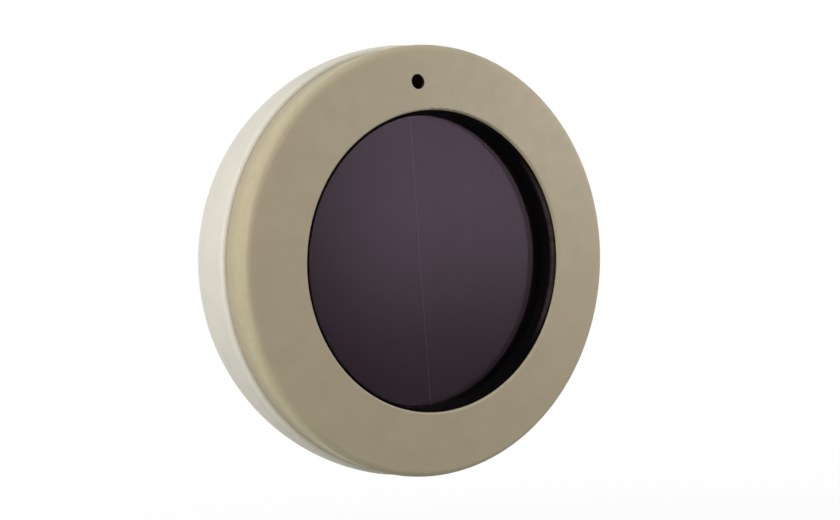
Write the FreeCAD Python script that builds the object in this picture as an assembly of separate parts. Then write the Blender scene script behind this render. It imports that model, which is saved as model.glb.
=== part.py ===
import FreeCAD, Part
import math
import os

# Round outdoor sun sensor on a twist-off wall plate, in millimetres.
# +Z is up, the sensor faces -Y, and +X is on the right as seen from the front.
# The origin is the middle of the wall plate's back face, which lies on the wall.
# Depths run backwards from the front face. Angles run from +X towards +Z.

# Whole sensor
COVER_RADIUS = 50.0
TOTAL_DEPTH = 42.0
BODY_DEPTH = 40.0
PARTING_DEPTH = 11.2

# Front cover
FRONT_WALL = 2.6
FACE_SLOPE = 7.0
FACE_FLAT_BACK_RADIUS = 44.4
EDGE_ROUND = 1.7
COVER_BACK_RADIUS = 49.35
COVER_BACK_DEPTH = 11.1
SIDE_WALL = 2.0
APERTURE_RADIUS = 34.9
MOUTH_ROUND = 0.5
SPIGOT_RADIUS = 47.95
SPIGOT_INNER_RADIUS = 45.2
SPIGOT_START = 9.8
SPIGOT_END = 14.4
SEAL_GROOVE_RADIUS = 46.7
SEAL_GROOVE_FRONT = 12.0
SEAL_GROOVE_BACK = 13.5
SEAL_THICKNESS = 1.26

# Posts that the housing screws bite into
SCREW_CIRCLE = 41.5
SCREW_ANGLES = (45, 135, 225, 315)
COVER_POST_RADIUS = 3.25
COVER_POST_END = 16.8
COVER_PILOT_RADIUS = 1.45
COVER_PILOT_START = 6.0
RIB_THICKNESS = 1.4
RIB_END = 8.6

# Status light at the top of the face
LIGHT_PLACE = (-1.3, 41.55)
LIGHT_HOLE_RADIUS = 1.75
LIGHT_PIPE_RADIUS = 1.65
LIGHT_PIPE_START = 1.1
LIGHT_PIPE_END = 13.0
LIGHT_PIPE_CHAMFER = 0.3
LIGHT_FLANGE_RADIUS = 2.6
LIGHT_FLANGE_THICKNESS = 1.0
LED_START = 13.4
LED_COLLAR = 1.1
LED_COLLAR_RADIUS = 1.9

# Solar cell stack, from the front: bezel lip, glass, film, backing, foam and retainer
BEZEL_FRONT = 0.5
BEZEL_SLEEVE_RADIUS = 34.8
BEZEL_MOUTH_RADIUS = 34.25
BEZEL_THROAT_RADIUS = 33.95
BEZEL_THROAT_DEPTH = 1.8
BEZEL_LIP_RADIUS = 33.75
BEZEL_LIP_EDGE = 0.25
GLASS_FRONT = 4.75
POCKET_RADIUS = 36.3
BEZEL_RADIUS = 37.8
GASKET_INNER_RADIUS = 34.5
GASKET_OUTER_RADIUS = 35.6
GASKET_GROOVE_DEPTH = 0.6
GASKET_PLAY = 0.05
GLASS_RADIUS = 36.0
GLASS_THICKNESS = 1.75
GLASS_PLAY = 0.05
CELL_RADIUS = 35.8
CELL_THICKNESS = 0.2
CELL_GAP = 0.3
CELL_SPLIT = -0.7
BACKING_THICKNESS = 0.8
CUSHION_THICKNESS = 2.35
CUSHION_INNER_RADIUS = 27.0
RETAINER_INNER_RADIUS = 30.0
RETAINER_THICKNESS = 2.0

# Ears that hold the bezel and the retainer to the cover
EAR_CIRCLE = 41.0
EAR_ANGLES = (30, 150, 270)
EAR_RADIUS = 3.2
EAR_START = 7.2
EAR_POST_RADIUS = 2.5
EAR_HOLE_RADIUS = 1.3
EAR_PILOT_RADIUS = 0.95
EAR_PILOT_START = 3.4
EAR_SCREW_HEAD_RADIUS = 2.0
EAR_SCREW_HEAD = 1.5
EAR_SCREW_RADIUS = 0.9
EAR_SCREW_TIP = 4.2

# Rear housing
RIM_RADIUS = 50.4
RIM_ROUND = 0.9
SIDE_ARC = 40.0
BACK_ARC = 12.0
HOUSING_WALL = 2.4
SOCKET_RADIUS = 48.05
SOCKET_END = 15.2
BOSS_RADIUS = 3.5
BOSS_START = 17.0
SCREW_HOLE_RADIUS = 1.7
COUNTERBORE_RADIUS = 3.2
COUNTERBORE_FLOOR = 29.0
HOUSING_SCREW_HEAD_RADIUS = 2.75
HOUSING_SCREW_HEAD = 2.2
HOUSING_SCREW_RADIUS = 1.4
HOUSING_SCREW_TIP = 10.5
COUNTERBORE_ROUND = 0.4

# Circuit board and the three standoffs that carry it
BOARD_FRONT = 18.0
BOARD_THICKNESS = 1.6
BOARD_RADIUS = 44.5
BOARD_NOTCH_RADIUS = 4.2
STANDOFF_CIRCLE = 33.0
STANDOFF_ANGLES = (90, 210, 330)
STANDOFF_RADIUS = 3.0
STANDOFF_PILOT_RADIUS = 1.15
STANDOFF_PILOT_END = 27.5
BOARD_HOLE_RADIUS = 1.3
BOARD_SCREW_HEAD_RADIUS = 2.1
BOARD_SCREW_HEAD = 1.6
BOARD_SCREW_RADIUS = 1.05
BOARD_SCREW_TIP = 26.0

# Parts on the board
CAPACITOR_RADIUS = 10.0
CAPACITOR_HEIGHT = 6.5
CAPACITOR_DROP = 14.0
CAPACITOR_LIP = 0.4
RADIO_PLACE = (14.0, 15.0)
RADIO_SIZE = (16.0, 12.0, 2.4)
RADIO_BASE = 0.8
RADIO_CAN_INSET = 0.7
CHIP_PLACE = (-14.0, 15.0)
CHIP_SIZE = 7.0
CHIP_HEIGHT = 1.0
CHIP_LEGS_A_SIDE = 8
CHIP_LEG_PITCH = 0.8
CHIP_LEG_WIDTH = 0.35
CHIP_LEG_LENGTH = 1.0
CHIP_LEG_HEIGHT = 0.3
CRYSTAL_PLACE = (-3.0, 20.0)
CRYSTAL_SIZE = (5.0, 3.2, 1.1)
SMALL_PART_SIZE = (2.0, 1.25, 0.7)
SMALL_PART_PITCH = 3.6
SMALL_PARTS_A_ROW = 6
SMALL_ROW_HEIGHTS = (-14.0, -19.0)
CONNECTOR_PLACE = (0.0, 8.0)
CONNECTOR_SIZE = (6.0, 4.2, 4.0)
LEAD_RADIUS = 0.45
LEAD_SPACING = 2.5
LEAD_DEPTH = 16.0
LEAD_PAD = (9.0, -5.0)
LEAD_TURN_HEIGHT = 3.0
ANTENNA_RADIUS = 0.4
ANTENNA_CIRCLE = 36.7
ANTENNA_DEPTH = 15.2
ANTENNA_START = 105.0
ANTENNA_SWEEP = 262.0
ANTENNA_BEND = 1.6

# Light-level dial on the left of the back, as seen from the front
DIAL_PLACE = (-33.0, 0.0)
DIAL_POCKET_RADIUS = 6.3
POCKET_EDGE_ROUND = 0.5
POCKET_FLOOR = 37.0
POCKET_FLOOR_WALL = 2.2
POCKET_WALL = 1.8
COLLAR_RADIUS = 4.6
COLLAR_START = 31.0
DIAL_RADIUS = 5.2
DIAL_FRONT = 37.3
DIAL_BACK = 39.6
DIAL_ROUND = 0.4
DIAL_SLOT = (8.0, 1.2, 1.1)
DIAL_STEM_RADIUS = 2.5
DIAL_HOLE_RADIUS = 2.8
DIAL_STEM_START = 25.6
DIAL_TIP_RADIUS = 1.55
DIAL_TIP_START = 22.4
DIAL_TIP_FLAT = 1.05
DIAL_SEAL_GROOVE = (1.95, 35.2, 36.2)
DIAL_SEAL_RADIUS = 0.4
DIAL_SEAL_CIRCLE = 2.36
TRIMMER_SIZE = 9.5
TRIMMER_HEIGHT = 5.0
TRIMMER_WELL_RADIUS = 3.2
TRIMMER_WELL_FLOOR = 0.8
ROTOR_RADIUS = 3.0
ROTOR_PLAY = 0.2
ROTOR_BACK = 24.9
ROTOR_SOCKET_RADIUS = 1.7
ROTOR_SOCKET_FLAT = 1.2
ROTOR_SOCKET_START = 22.0

# Programming button on the right of the back
BUTTON_PLACE = (33.0, 0.0)
BUTTON_POCKET_RADIUS = 5.0
BUTTON_RADIUS = 3.8
BUTTON_FRONT = 37.8
BUTTON_BACK = 39.6
BUTTON_ROUND = 0.6
BUTTON_STEM_RADIUS = 1.8
BUTTON_HOLE_RADIUS = 2.1
BUTTON_SEAL_INNER = 1.9
BUTTON_SEAL_OUTER = 2.95
BUTTON_SEAL_SPAN = (32.6, 33.8)
SEAL_PLAY = 0.05
SWITCH_SIZE = 6.2
SWITCH_HEIGHT = 3.5
SWITCH_WELL_RADIUS = 1.9
SWITCH_WELL_FLOOR = 0.8
PLUNGER_RADIUS = 1.7
PLUNGER_START = 21.2
PLUNGER_END = 25.0

# Twist lock between the wall plate and the housing
LOCK_RADIUS = 23.8
LOCK_FLOOR = 34.8
LOCK_WALL = 2.2
LOCK_EDGE_ROUND = 0.3
LUG_ANGLES = (30, 150, 270)
LUG_SPAN = 24.0
HOUSING_LUG_INNER = 20.7
HOUSING_LUG_FRONT = 37.8
PLATE_LUG_OUTER = 23.5
PLATE_LUG_FRONT = 35.4
PLATE_LUG_BACK = 37.6
HUB_RADIUS = 20.4
HUB_INNER_RADIUS = 17.8
FLANGE_RADIUS = 25.5
FLANGE_FRONT = 40.2
FLANGE_ROUND = 0.4
PLATE_FLOOR_FRONT = 39.5
STOP_FRONT = 38.0
STOP_SPAN = 4.0
STOP_GAP = 1.0
TWIST = 30.0
NOTCH_SIZE = 2.4
CORES = 12
CORE_INNER = 21.2
CORE_OUTER = 24.3
CORE_DEPTH = 0.9
CORE_RIB_SPAN = 5.0
SLOT_HEIGHT = 12.0
SLOT_RADIUS = 2.25
SLOT_LENGTH = 8.0

# How far one solid runs into the next where the two become one piece
BITE = 0.4
# How far a cutter runs past the surface that it opens
OVERRUN = 2.0

AXIS = FreeCAD.Vector(0, -1, 0)
CENTRE = FreeCAD.Vector(0, 0, 0)


# Placing and shaping

def spot(x, depth, z):
    """Point at a depth behind the front face."""
    return FreeCAD.Vector(x, depth - TOTAL_DEPTH, z)


def polar(radius, degrees):
    """X and Z of a point on a circle about the sensor's axis."""
    angle = math.radians(degrees)
    return radius * math.cos(angle), radius * math.sin(angle)


def on_arc(centre, radius, degrees):
    """Radius and depth of a point on an arc: 0 degrees is outwards, 90 is backwards."""
    angle = math.radians(degrees)
    return centre[0] + radius * math.cos(angle), centre[1] + radius * math.sin(angle)


def turned(corners, place=(0, 0)):
    """Solid of revolution from (radius, depth) corners; a pair of corners is an arc's middle and end."""
    edges = []
    here = corners[0]
    for step in corners[1:] + corners[:1]:
        if isinstance(step[0], tuple):
            middle, end = step
            through = [spot(radius, depth, 0) for radius, depth in (here, middle, end)]
            edges.append(Part.Arc(*through).toShape())
            here = end
        elif math.dist(here, step) > 1e-6:
            edges.append(Part.makeLine(spot(here[0], here[1], 0), spot(step[0], step[1], 0)))
            here = step
    solid = Part.Face(Part.Wire(edges)).revolve(CENTRE, AXIS, 360)
    if solid.Volume < 0:
        solid.reverse()
    return solid.translated(FreeCAD.Vector(place[0], 0, place[1]))


def rod(place, radius, front, back):
    """Round rod along the depth."""
    return Part.makeCylinder(radius, back - front, spot(place[0], front, place[1]), FreeCAD.Vector(0, 1, 0))


def ring(place, inner, outer, front, back):
    """Flat ring or tube along the depth."""
    return rod(place, outer, front, back).cut(rod(place, inner, front - OVERRUN, back + OVERRUN))


def block(place, width, height, front, back):
    """Box centred on a place, its width along X and its height along Z."""
    corner = spot(place[0] - width / 2, front, place[1] - height / 2)
    return Part.makeBox(width, back - front, height, corner)


def spun(shape, degrees, place=(0, 0)):
    """Copy of a shape turned about an axis through a place."""
    return shape.rotated(FreeCAD.Vector(place[0], 0, place[1]), AXIS, degrees)


def sector(inner, outer, middle, span, front, back):
    """Part of a flat ring, of a given span about a middle angle."""
    corners = [spot(inner, front, 0), spot(outer, front, 0), spot(outer, back, 0), spot(inner, back, 0)]
    face = Part.Face(Part.makePolygon(corners + corners[:1]))
    solid = face.revolve(CENTRE, AXIS, span)
    if solid.Volume < 0:
        solid.reverse()
    return spun(solid, middle - span / 2)


def joined(shapes):
    """One solid from shapes that run into each other."""
    return shapes[0].fuse(shapes[1:]).removeSplitter()


def around(circle, angles):
    """Places at the given angles on a circle about the sensor's axis."""
    return [polar(circle, degrees) for degrees in angles]


def screw(place, head_radius, head, shank_radius, shank):
    """Pan-head screw from the depths of its head and shank; the cross recess opens away from the shank."""
    head_start, head_end = head
    faces_back = head_start >= shank[1]
    top = head_end if faces_back else head_start
    depth = (head_end - head_start) * 0.6
    recess = sorted((top, top - depth if faces_back else top + depth))
    solid = joined([rod(place, head_radius, *head), rod(place, shank_radius, *shank)])
    girth = 2 * math.pi * head_radius
    rims = [edge for edge in solid.Edges if math.isclose(edge.Length, girth, rel_tol=1e-6)]
    outer = [edge for edge in rims if math.isclose(edge.BoundBox.YMin, top - TOTAL_DEPTH, abs_tol=1e-3)]
    solid = solid.makeFillet(head_radius * 0.25, outer)
    for width, height in ((head_radius * 1.1, head_radius * 0.28), (head_radius * 0.28, head_radius * 1.1)):
        solid = solid.cut(block(place, width, height, recess[0], recess[1]))
    return solid


def wire_path(points):
    """Path of straight runs joined by tangent arcs, each as large as its two runs allow, and its radii."""
    edges = []
    radii = []
    here = points[0]
    for before, corner, after in zip(points, points[1:], points[2:]):
        back = (before - corner).normalize()
        ahead = (after - corner).normalize()
        half_turn = (math.pi - back.getAngle(ahead)) / 2
        reach = 0.45 * min((before - corner).Length, (after - corner).Length)
        radius = reach / math.tan(half_turn)
        first = corner + back * reach
        last = corner + ahead * reach
        centre = corner + (back + ahead).normalize() * (radius / math.cos(half_turn))
        middle = centre + (corner - centre).normalize() * radius
        edges.append(Part.makeLine(here, first))
        edges.append(Part.Arc(first, middle, last).toShape())
        radii.append(radius)
        here = last
    edges.append(Part.makeLine(here, points[-1]))
    return Part.Wire(edges), radii


def wire_along(path, start, direction, radius):
    """Round wire swept along a path that leaves its start in the given direction."""
    section = Part.Wire(Part.makeCircle(radius, start, direction))
    return path.makePipeShell([section], True, False)


def write(node, *solids):
    """Write one sub-part; like pieces share a file as separate solids."""
    shape = solids[0] if len(solids) == 1 else Part.makeCompound(list(solids))
    shape.exportStep(f"parts/{node}.step")


# Front cover and status light

def front_cover():
    """Cap with a slightly conical face, a sloping side, a sealed spigot, screw posts and the light's hole."""
    fall = math.tan(math.radians(FACE_SLOPE))
    mouth = (APERTURE_RADIUS + MOUTH_ROUND, MOUTH_ROUND)
    edge_radius = COVER_RADIUS - EDGE_ROUND
    edge_rise = (EDGE_ROUND - MOUTH_ROUND) / math.cos(math.radians(FACE_SLOPE))
    edge = (edge_radius, MOUTH_ROUND + (edge_radius - mouth[0]) * fall + edge_rise)
    slope = math.degrees(math.atan2(COVER_RADIUS - COVER_BACK_RADIUS, COVER_BACK_DEPTH - edge[1]))
    side_inner = COVER_RADIUS - SIDE_WALL
    face_back = FRONT_WALL + (side_inner - FACE_FLAT_BACK_RADIUS) * fall
    shell = turned([
        (APERTURE_RADIUS, FRONT_WALL),
        (APERTURE_RADIUS, MOUTH_ROUND),
        (on_arc(mouth, MOUTH_ROUND, 225 + FACE_SLOPE / 2), on_arc(mouth, MOUTH_ROUND, 270 + FACE_SLOPE)),
        on_arc(edge, EDGE_ROUND, FACE_SLOPE - 90),
        (on_arc(edge, EDGE_ROUND, (slope + FACE_SLOPE - 90) / 2), on_arc(edge, EDGE_ROUND, slope)),
        (COVER_BACK_RADIUS, COVER_BACK_DEPTH),
        (SPIGOT_RADIUS, COVER_BACK_DEPTH),
        (SPIGOT_RADIUS, SEAL_GROOVE_FRONT),
        (SEAL_GROOVE_RADIUS, SEAL_GROOVE_FRONT),
        (SEAL_GROOVE_RADIUS, SEAL_GROOVE_BACK),
        (SPIGOT_RADIUS, SEAL_GROOVE_BACK),
        (SPIGOT_RADIUS, SPIGOT_END),
        (SPIGOT_INNER_RADIUS, SPIGOT_END),
        (SPIGOT_INNER_RADIUS, SPIGOT_START),
        (side_inner, SPIGOT_START - (side_inner - SPIGOT_INNER_RADIUS)),
        (side_inner, face_back),
        (FACE_FLAT_BACK_RADIUS, FRONT_WALL),
    ])
    inside = FRONT_WALL - BITE
    added = []
    for degrees in SCREW_ANGLES:
        added.append(rod(polar(SCREW_CIRCLE, degrees), COVER_POST_RADIUS, inside, COVER_POST_END))
        length = side_inner + BITE - SCREW_CIRCLE
        rib = block((SCREW_CIRCLE + length / 2, 0), length, RIB_THICKNESS, inside, RIB_END)
        added.append(spun(rib, degrees))
    for place in around(EAR_CIRCLE, EAR_ANGLES):
        added.append(rod(place, EAR_POST_RADIUS, inside, EAR_START))
    cover = joined([shell] + added)
    for place in around(SCREW_CIRCLE, SCREW_ANGLES):
        cover = cover.cut(rod(place, COVER_PILOT_RADIUS, COVER_PILOT_START, COVER_POST_END + OVERRUN))
    for place in around(EAR_CIRCLE, EAR_ANGLES):
        cover = cover.cut(rod(place, EAR_PILOT_RADIUS, EAR_PILOT_START, EAR_START + OVERRUN))
    return cover.cut(rod(LIGHT_PLACE, LIGHT_HOLE_RADIUS, -OVERRUN, FRONT_WALL + OVERRUN))


def cover_seal():
    """Rubber ring in the spigot's groove."""
    middle = (SEAL_GROOVE_FRONT + SEAL_GROOVE_BACK) / 2
    circle = SEAL_GROOVE_RADIUS + GASKET_PLAY + SEAL_THICKNESS / 2
    return Part.makeTorus(circle, SEAL_THICKNESS / 2, spot(0, middle, 0), AXIS)


def light_pipe():
    """Clear rod that carries the status light to the face, with a flange behind the cover."""
    flange_end = FRONT_WALL + LIGHT_FLANGE_THICKNESS
    return turned([
        (0, LIGHT_PIPE_START),
        (LIGHT_PIPE_RADIUS - LIGHT_PIPE_CHAMFER, LIGHT_PIPE_START),
        (LIGHT_PIPE_RADIUS, LIGHT_PIPE_START + LIGHT_PIPE_CHAMFER),
        (LIGHT_PIPE_RADIUS, FRONT_WALL),
        (LIGHT_FLANGE_RADIUS, FRONT_WALL),
        (LIGHT_FLANGE_RADIUS, flange_end),
        (LIGHT_PIPE_RADIUS, flange_end),
        (LIGHT_PIPE_RADIUS, LIGHT_PIPE_END),
        (0, LIGHT_PIPE_END),
    ], LIGHT_PLACE)


def status_led():
    """Round-nosed light-emitting diode on the board, behind the light pipe."""
    nose = (0, LED_START + LIGHT_PIPE_RADIUS)
    return turned([
        (0, LED_START),
        (on_arc(nose, LIGHT_PIPE_RADIUS, -45), on_arc(nose, LIGHT_PIPE_RADIUS, 0)),
        (LIGHT_PIPE_RADIUS, BOARD_FRONT - LED_COLLAR),
        (LED_COLLAR_RADIUS, BOARD_FRONT - LED_COLLAR),
        (LED_COLLAR_RADIUS, BOARD_FRONT),
        (0, BOARD_FRONT),
    ], LIGHT_PLACE)


# Solar cell stack

def cell_depths():
    """Depths of the stack's faces: film, backing, foam, retainer and the retainer's back."""
    film = GLASS_FRONT + GLASS_THICKNESS + GLASS_PLAY
    backing = film + CELL_THICKNESS
    cushion = backing + BACKING_THICKNESS
    retainer = cushion + CUSHION_THICKNESS
    return film, backing, cushion, retainer, retainer + RETAINER_THICKNESS


def ear(degrees, front, back):
    """Screw ear that stands out from a ring."""
    reach = EAR_CIRCLE - BEZEL_RADIUS + BITE
    arm = block((EAR_CIRCLE - reach / 2, 0), reach, 2 * EAR_RADIUS, front, back)
    return joined([rod(polar(EAR_CIRCLE, degrees), EAR_RADIUS, front, back), spun(arm, degrees)])


def with_ears(body, front, back):
    """A ring with its three screw ears and their holes."""
    solid = joined([body] + [ear(degrees, front, back) for degrees in EAR_ANGLES])
    for place in around(EAR_CIRCLE, EAR_ANGLES):
        solid = solid.cut(rod(place, EAR_HOLE_RADIUS, front - OVERRUN, back + OVERRUN))
    return solid


def cell_bezel():
    """Black ring that fills the cover's mouth and frames the cell; the glass sits in its pocket."""
    retainer = cell_depths()[3]
    lip_back = GLASS_FRONT - GASKET_PLAY
    groove = lip_back - GASKET_GROOVE_DEPTH
    body = turned([
        (BEZEL_THROAT_RADIUS, BEZEL_THROAT_DEPTH),
        (BEZEL_MOUTH_RADIUS, BEZEL_FRONT),
        (BEZEL_SLEEVE_RADIUS, BEZEL_FRONT),
        (BEZEL_SLEEVE_RADIUS, FRONT_WALL),
        (BEZEL_RADIUS, FRONT_WALL),
        (BEZEL_RADIUS, retainer),
        (POCKET_RADIUS, retainer),
        (POCKET_RADIUS, lip_back),
        (GASKET_OUTER_RADIUS + GASKET_PLAY, lip_back),
        (GASKET_OUTER_RADIUS + GASKET_PLAY, groove),
        (GASKET_INNER_RADIUS - GASKET_PLAY, groove),
        (GASKET_INNER_RADIUS - GASKET_PLAY, lip_back),
        (BEZEL_LIP_RADIUS, lip_back),
        (BEZEL_LIP_RADIUS, lip_back - BEZEL_LIP_EDGE),
    ])
    return with_ears(body, EAR_START, retainer)


def cell_gasket():
    """Flat rubber ring that seals the glass to the bezel's lip."""
    front = GLASS_FRONT - GASKET_PLAY - GASKET_GROOVE_DEPTH
    return ring((0, 0), GASKET_INNER_RADIUS, GASKET_OUTER_RADIUS, front, GLASS_FRONT)


def cell_glass():
    return rod((0, 0), GLASS_RADIUS, GLASS_FRONT, GLASS_FRONT + GLASS_THICKNESS)


def cell_half(side):
    """Half of the dark film, side 1 or -1 of the thin upright gap just left of the middle."""
    film, backing = cell_depths()[:2]
    inner = CELL_SPLIT + side * CELL_GAP / 2
    outer = side * CELL_RADIUS
    disc = rod((0, 0), CELL_RADIUS, film, backing)
    slab = block(((inner + outer) / 2, 0), abs(outer - inner), 2 * CELL_RADIUS, film - BITE, backing + BITE)
    return disc.common(slab)


def cell_retainer():
    """Ring that presses the stack forwards through the foam."""
    front, back = cell_depths()[3:]
    return with_ears(ring((0, 0), RETAINER_INNER_RADIUS, BEZEL_RADIUS, front, back), front, back)


def retainer_screws():
    back = cell_depths()[4]
    head = (back, back + EAR_SCREW_HEAD)
    shank = (EAR_SCREW_TIP, back)
    places = around(EAR_CIRCLE, EAR_ANGLES)
    return [screw(place, EAR_SCREW_HEAD_RADIUS, head, EAR_SCREW_RADIUS, shank) for place in places]


# Rear housing

def housing_outline(offset, front):
    """Radius and depth corners of the bowl's skin, moved inwards by an offset, from a front depth."""
    start = PARTING_DEPTH + RIM_ROUND
    run = BODY_DEPTH - start - BACK_ARC
    change = math.degrees(math.asin(run / (SIDE_ARC - BACK_ARC)))
    side_centre = (RIM_RADIUS - SIDE_ARC, start)
    back_centre = on_arc(side_centre, SIDE_ARC - BACK_ARC, change)
    side = SIDE_ARC - offset
    back = BACK_ARC - offset
    first = math.degrees(math.asin((front - start) / side))
    return [
        on_arc(side_centre, side, first),
        (on_arc(side_centre, side, (first + change) / 2), on_arc(side_centre, side, change)),
        (on_arc(back_centre, back, (change + 90) / 2), on_arc(back_centre, back, 90)),
        (0, BODY_DEPTH - offset),
    ]


def housing_solid():
    """The bowl's outer form, filled."""
    rim = (RIM_RADIUS - RIM_ROUND, PARTING_DEPTH + RIM_ROUND)
    return turned([
        (0, PARTING_DEPTH),
        (rim[0], PARTING_DEPTH),
        (on_arc(rim, RIM_ROUND, -45), on_arc(rim, RIM_ROUND, 0)),
    ] + housing_outline(0, rim[1]))


def housing_hollow():
    """The bowl's inside, with the straight socket for the cover's spigot."""
    return turned([
        (0, PARTING_DEPTH - OVERRUN),
        (SOCKET_RADIUS, PARTING_DEPTH - OVERRUN),
        (SOCKET_RADIUS, SOCKET_END),
    ] + housing_outline(HOUSING_WALL, SOCKET_END))


def control_mount(place, pocket_radius):
    """Cup round a control's pocket, and the collar that guides its stem."""
    floor = POCKET_FLOOR - POCKET_FLOOR_WALL
    return [
        rod(place, pocket_radius + POCKET_WALL, floor, BODY_DEPTH),
        rod(place, COLLAR_RADIUS, COLLAR_START, POCKET_FLOOR),
    ]


def mouth_edges(solid, place, radius, past):
    """Edges of a round hole's mouth: those at its radius from its axis, and behind a depth."""
    found = []
    for edge in solid.Edges:
        points = edge.discretize(5)
        on_wall = [abs(math.hypot(p.x - place[0], p.z - place[1]) - radius) < 1e-3 for p in points]
        behind = [p.y + TOTAL_DEPTH > past for p in points]
        if all(on_wall + behind):
            found.append(edge)
    return found


def rear_housing():
    """Bowl with screw bosses, board standoffs, the twist lock's socket and the two control pockets."""
    outer = housing_solid()
    past_back = BODY_DEPTH + OVERRUN
    added = [rod((0, 0), LOCK_RADIUS + LOCK_WALL, LOCK_FLOOR - LOCK_WALL, BODY_DEPTH)]
    for place in around(SCREW_CIRCLE, SCREW_ANGLES):
        added.append(rod(place, BOSS_RADIUS, BOSS_START, BODY_DEPTH))
    for place in around(STANDOFF_CIRCLE, STANDOFF_ANGLES):
        added.append(rod(place, STANDOFF_RADIUS, BOARD_FRONT + BOARD_THICKNESS, BODY_DEPTH))
    added += control_mount(DIAL_PLACE, DIAL_POCKET_RADIUS)
    added += control_mount(BUTTON_PLACE, BUTTON_POCKET_RADIUS)
    shell = outer.cut(housing_hollow())
    bowl = joined([shell] + [solid.common(outer) for solid in added])
    cutters = [rod((0, 0), LOCK_RADIUS, LOCK_FLOOR, past_back)]
    for place in around(SCREW_CIRCLE, SCREW_ANGLES):
        cutters.append(rod(place, COUNTERBORE_RADIUS, COUNTERBORE_FLOOR, past_back))
        cutters.append(rod(place, SCREW_HOLE_RADIUS, BOSS_START - OVERRUN, COUNTERBORE_FLOOR + BITE))
    for place in around(STANDOFF_CIRCLE, STANDOFF_ANGLES):
        cutters.append(rod(place, STANDOFF_PILOT_RADIUS, BOARD_FRONT, STANDOFF_PILOT_END))
    cutters.append(rod(DIAL_PLACE, DIAL_POCKET_RADIUS, POCKET_FLOOR, past_back))
    cutters.append(rod(DIAL_PLACE, DIAL_HOLE_RADIUS, COLLAR_START - OVERRUN, past_back))
    cutters.append(rod(BUTTON_PLACE, BUTTON_POCKET_RADIUS, POCKET_FLOOR, past_back))
    cutters.append(rod(BUTTON_PLACE, BUTTON_HOLE_RADIUS, COLLAR_START - OVERRUN, past_back))
    seal_front, seal_back = BUTTON_SEAL_SPAN
    groove = BUTTON_SEAL_OUTER + SEAL_PLAY
    cutters.append(rod(BUTTON_PLACE, groove, seal_front - SEAL_PLAY, seal_back + SEAL_PLAY))
    for cutter in cutters:
        bowl = bowl.cut(cutter)
    mouths = [((0, 0), LOCK_RADIUS, LOCK_FLOOR, LOCK_EDGE_ROUND)]
    mouths.append((DIAL_PLACE, DIAL_POCKET_RADIUS, POCKET_FLOOR, POCKET_EDGE_ROUND))
    mouths.append((BUTTON_PLACE, BUTTON_POCKET_RADIUS, POCKET_FLOOR, POCKET_EDGE_ROUND))
    for place in around(SCREW_CIRCLE, SCREW_ANGLES):
        mouths.append((place, COUNTERBORE_RADIUS, COUNTERBORE_FLOOR, COUNTERBORE_ROUND))
    for place, radius, floor, edge_round in mouths:
        bowl = bowl.makeFillet(edge_round, mouth_edges(bowl, place, radius, floor + BITE))
    root = LOCK_RADIUS + BITE
    lugs = []
    for degrees in LUG_ANGLES:
        lugs.append(sector(HOUSING_LUG_INNER, root, degrees, LUG_SPAN, HOUSING_LUG_FRONT, BODY_DEPTH))
    return joined([bowl] + lugs)


def housing_screws():
    head = (COUNTERBORE_FLOOR, COUNTERBORE_FLOOR + HOUSING_SCREW_HEAD)
    shank = (HOUSING_SCREW_TIP, COUNTERBORE_FLOOR)
    places = around(SCREW_CIRCLE, SCREW_ANGLES)
    return [screw(place, HOUSING_SCREW_HEAD_RADIUS, head, HOUSING_SCREW_RADIUS, shank) for place in places]


# Circuit board and what is on it

def main_pcb():
    """Round board, notched for the screw posts."""
    back = BOARD_FRONT + BOARD_THICKNESS
    board = rod((0, 0), BOARD_RADIUS, BOARD_FRONT, back)
    for place in around(SCREW_CIRCLE, SCREW_ANGLES):
        board = board.cut(rod(place, BOARD_NOTCH_RADIUS, BOARD_FRONT - OVERRUN, back + OVERRUN))
    for place in around(STANDOFF_CIRCLE, STANDOFF_ANGLES):
        board = board.cut(rod(place, BOARD_HOLE_RADIUS, BOARD_FRONT - OVERRUN, back + OVERRUN))
    return board


def pcb_screws():
    head = (BOARD_FRONT - BOARD_SCREW_HEAD, BOARD_FRONT)
    shank = (BOARD_FRONT, BOARD_SCREW_TIP)
    places = around(STANDOFF_CIRCLE, STANDOFF_ANGLES)
    return [screw(place, BOARD_SCREW_HEAD_RADIUS, head, BOARD_SCREW_RADIUS, shank) for place in places]


def supercapacitor():
    """Coin-shaped store that runs the radio at night, on the back of the board."""
    front = BOARD_FRONT + BOARD_THICKNESS
    back = front + CAPACITOR_HEIGHT
    shoulder = CAPACITOR_RADIUS - CAPACITOR_LIP
    return turned([
        (0, front),
        (CAPACITOR_RADIUS, front),
        (CAPACITOR_RADIUS, back - 2 * CAPACITOR_LIP),
        (shoulder, back - CAPACITOR_LIP),
        (shoulder, back),
        (shoulder - CAPACITOR_LIP, back),
        (shoulder - CAPACITOR_LIP, back - CAPACITOR_LIP),
        (0, back - CAPACITOR_LIP),
    ], (0, -CAPACITOR_DROP))


def radio_module():
    """Radio module: a small base board under a metal can."""
    width, height, depth = RADIO_SIZE
    base = block(RADIO_PLACE, width, height, BOARD_FRONT - RADIO_BASE, BOARD_FRONT)
    inset = 2 * RADIO_CAN_INSET
    can = block(RADIO_PLACE, width - inset, height - inset, BOARD_FRONT - depth, BOARD_FRONT - RADIO_BASE)
    return joined([base, can])


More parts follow.
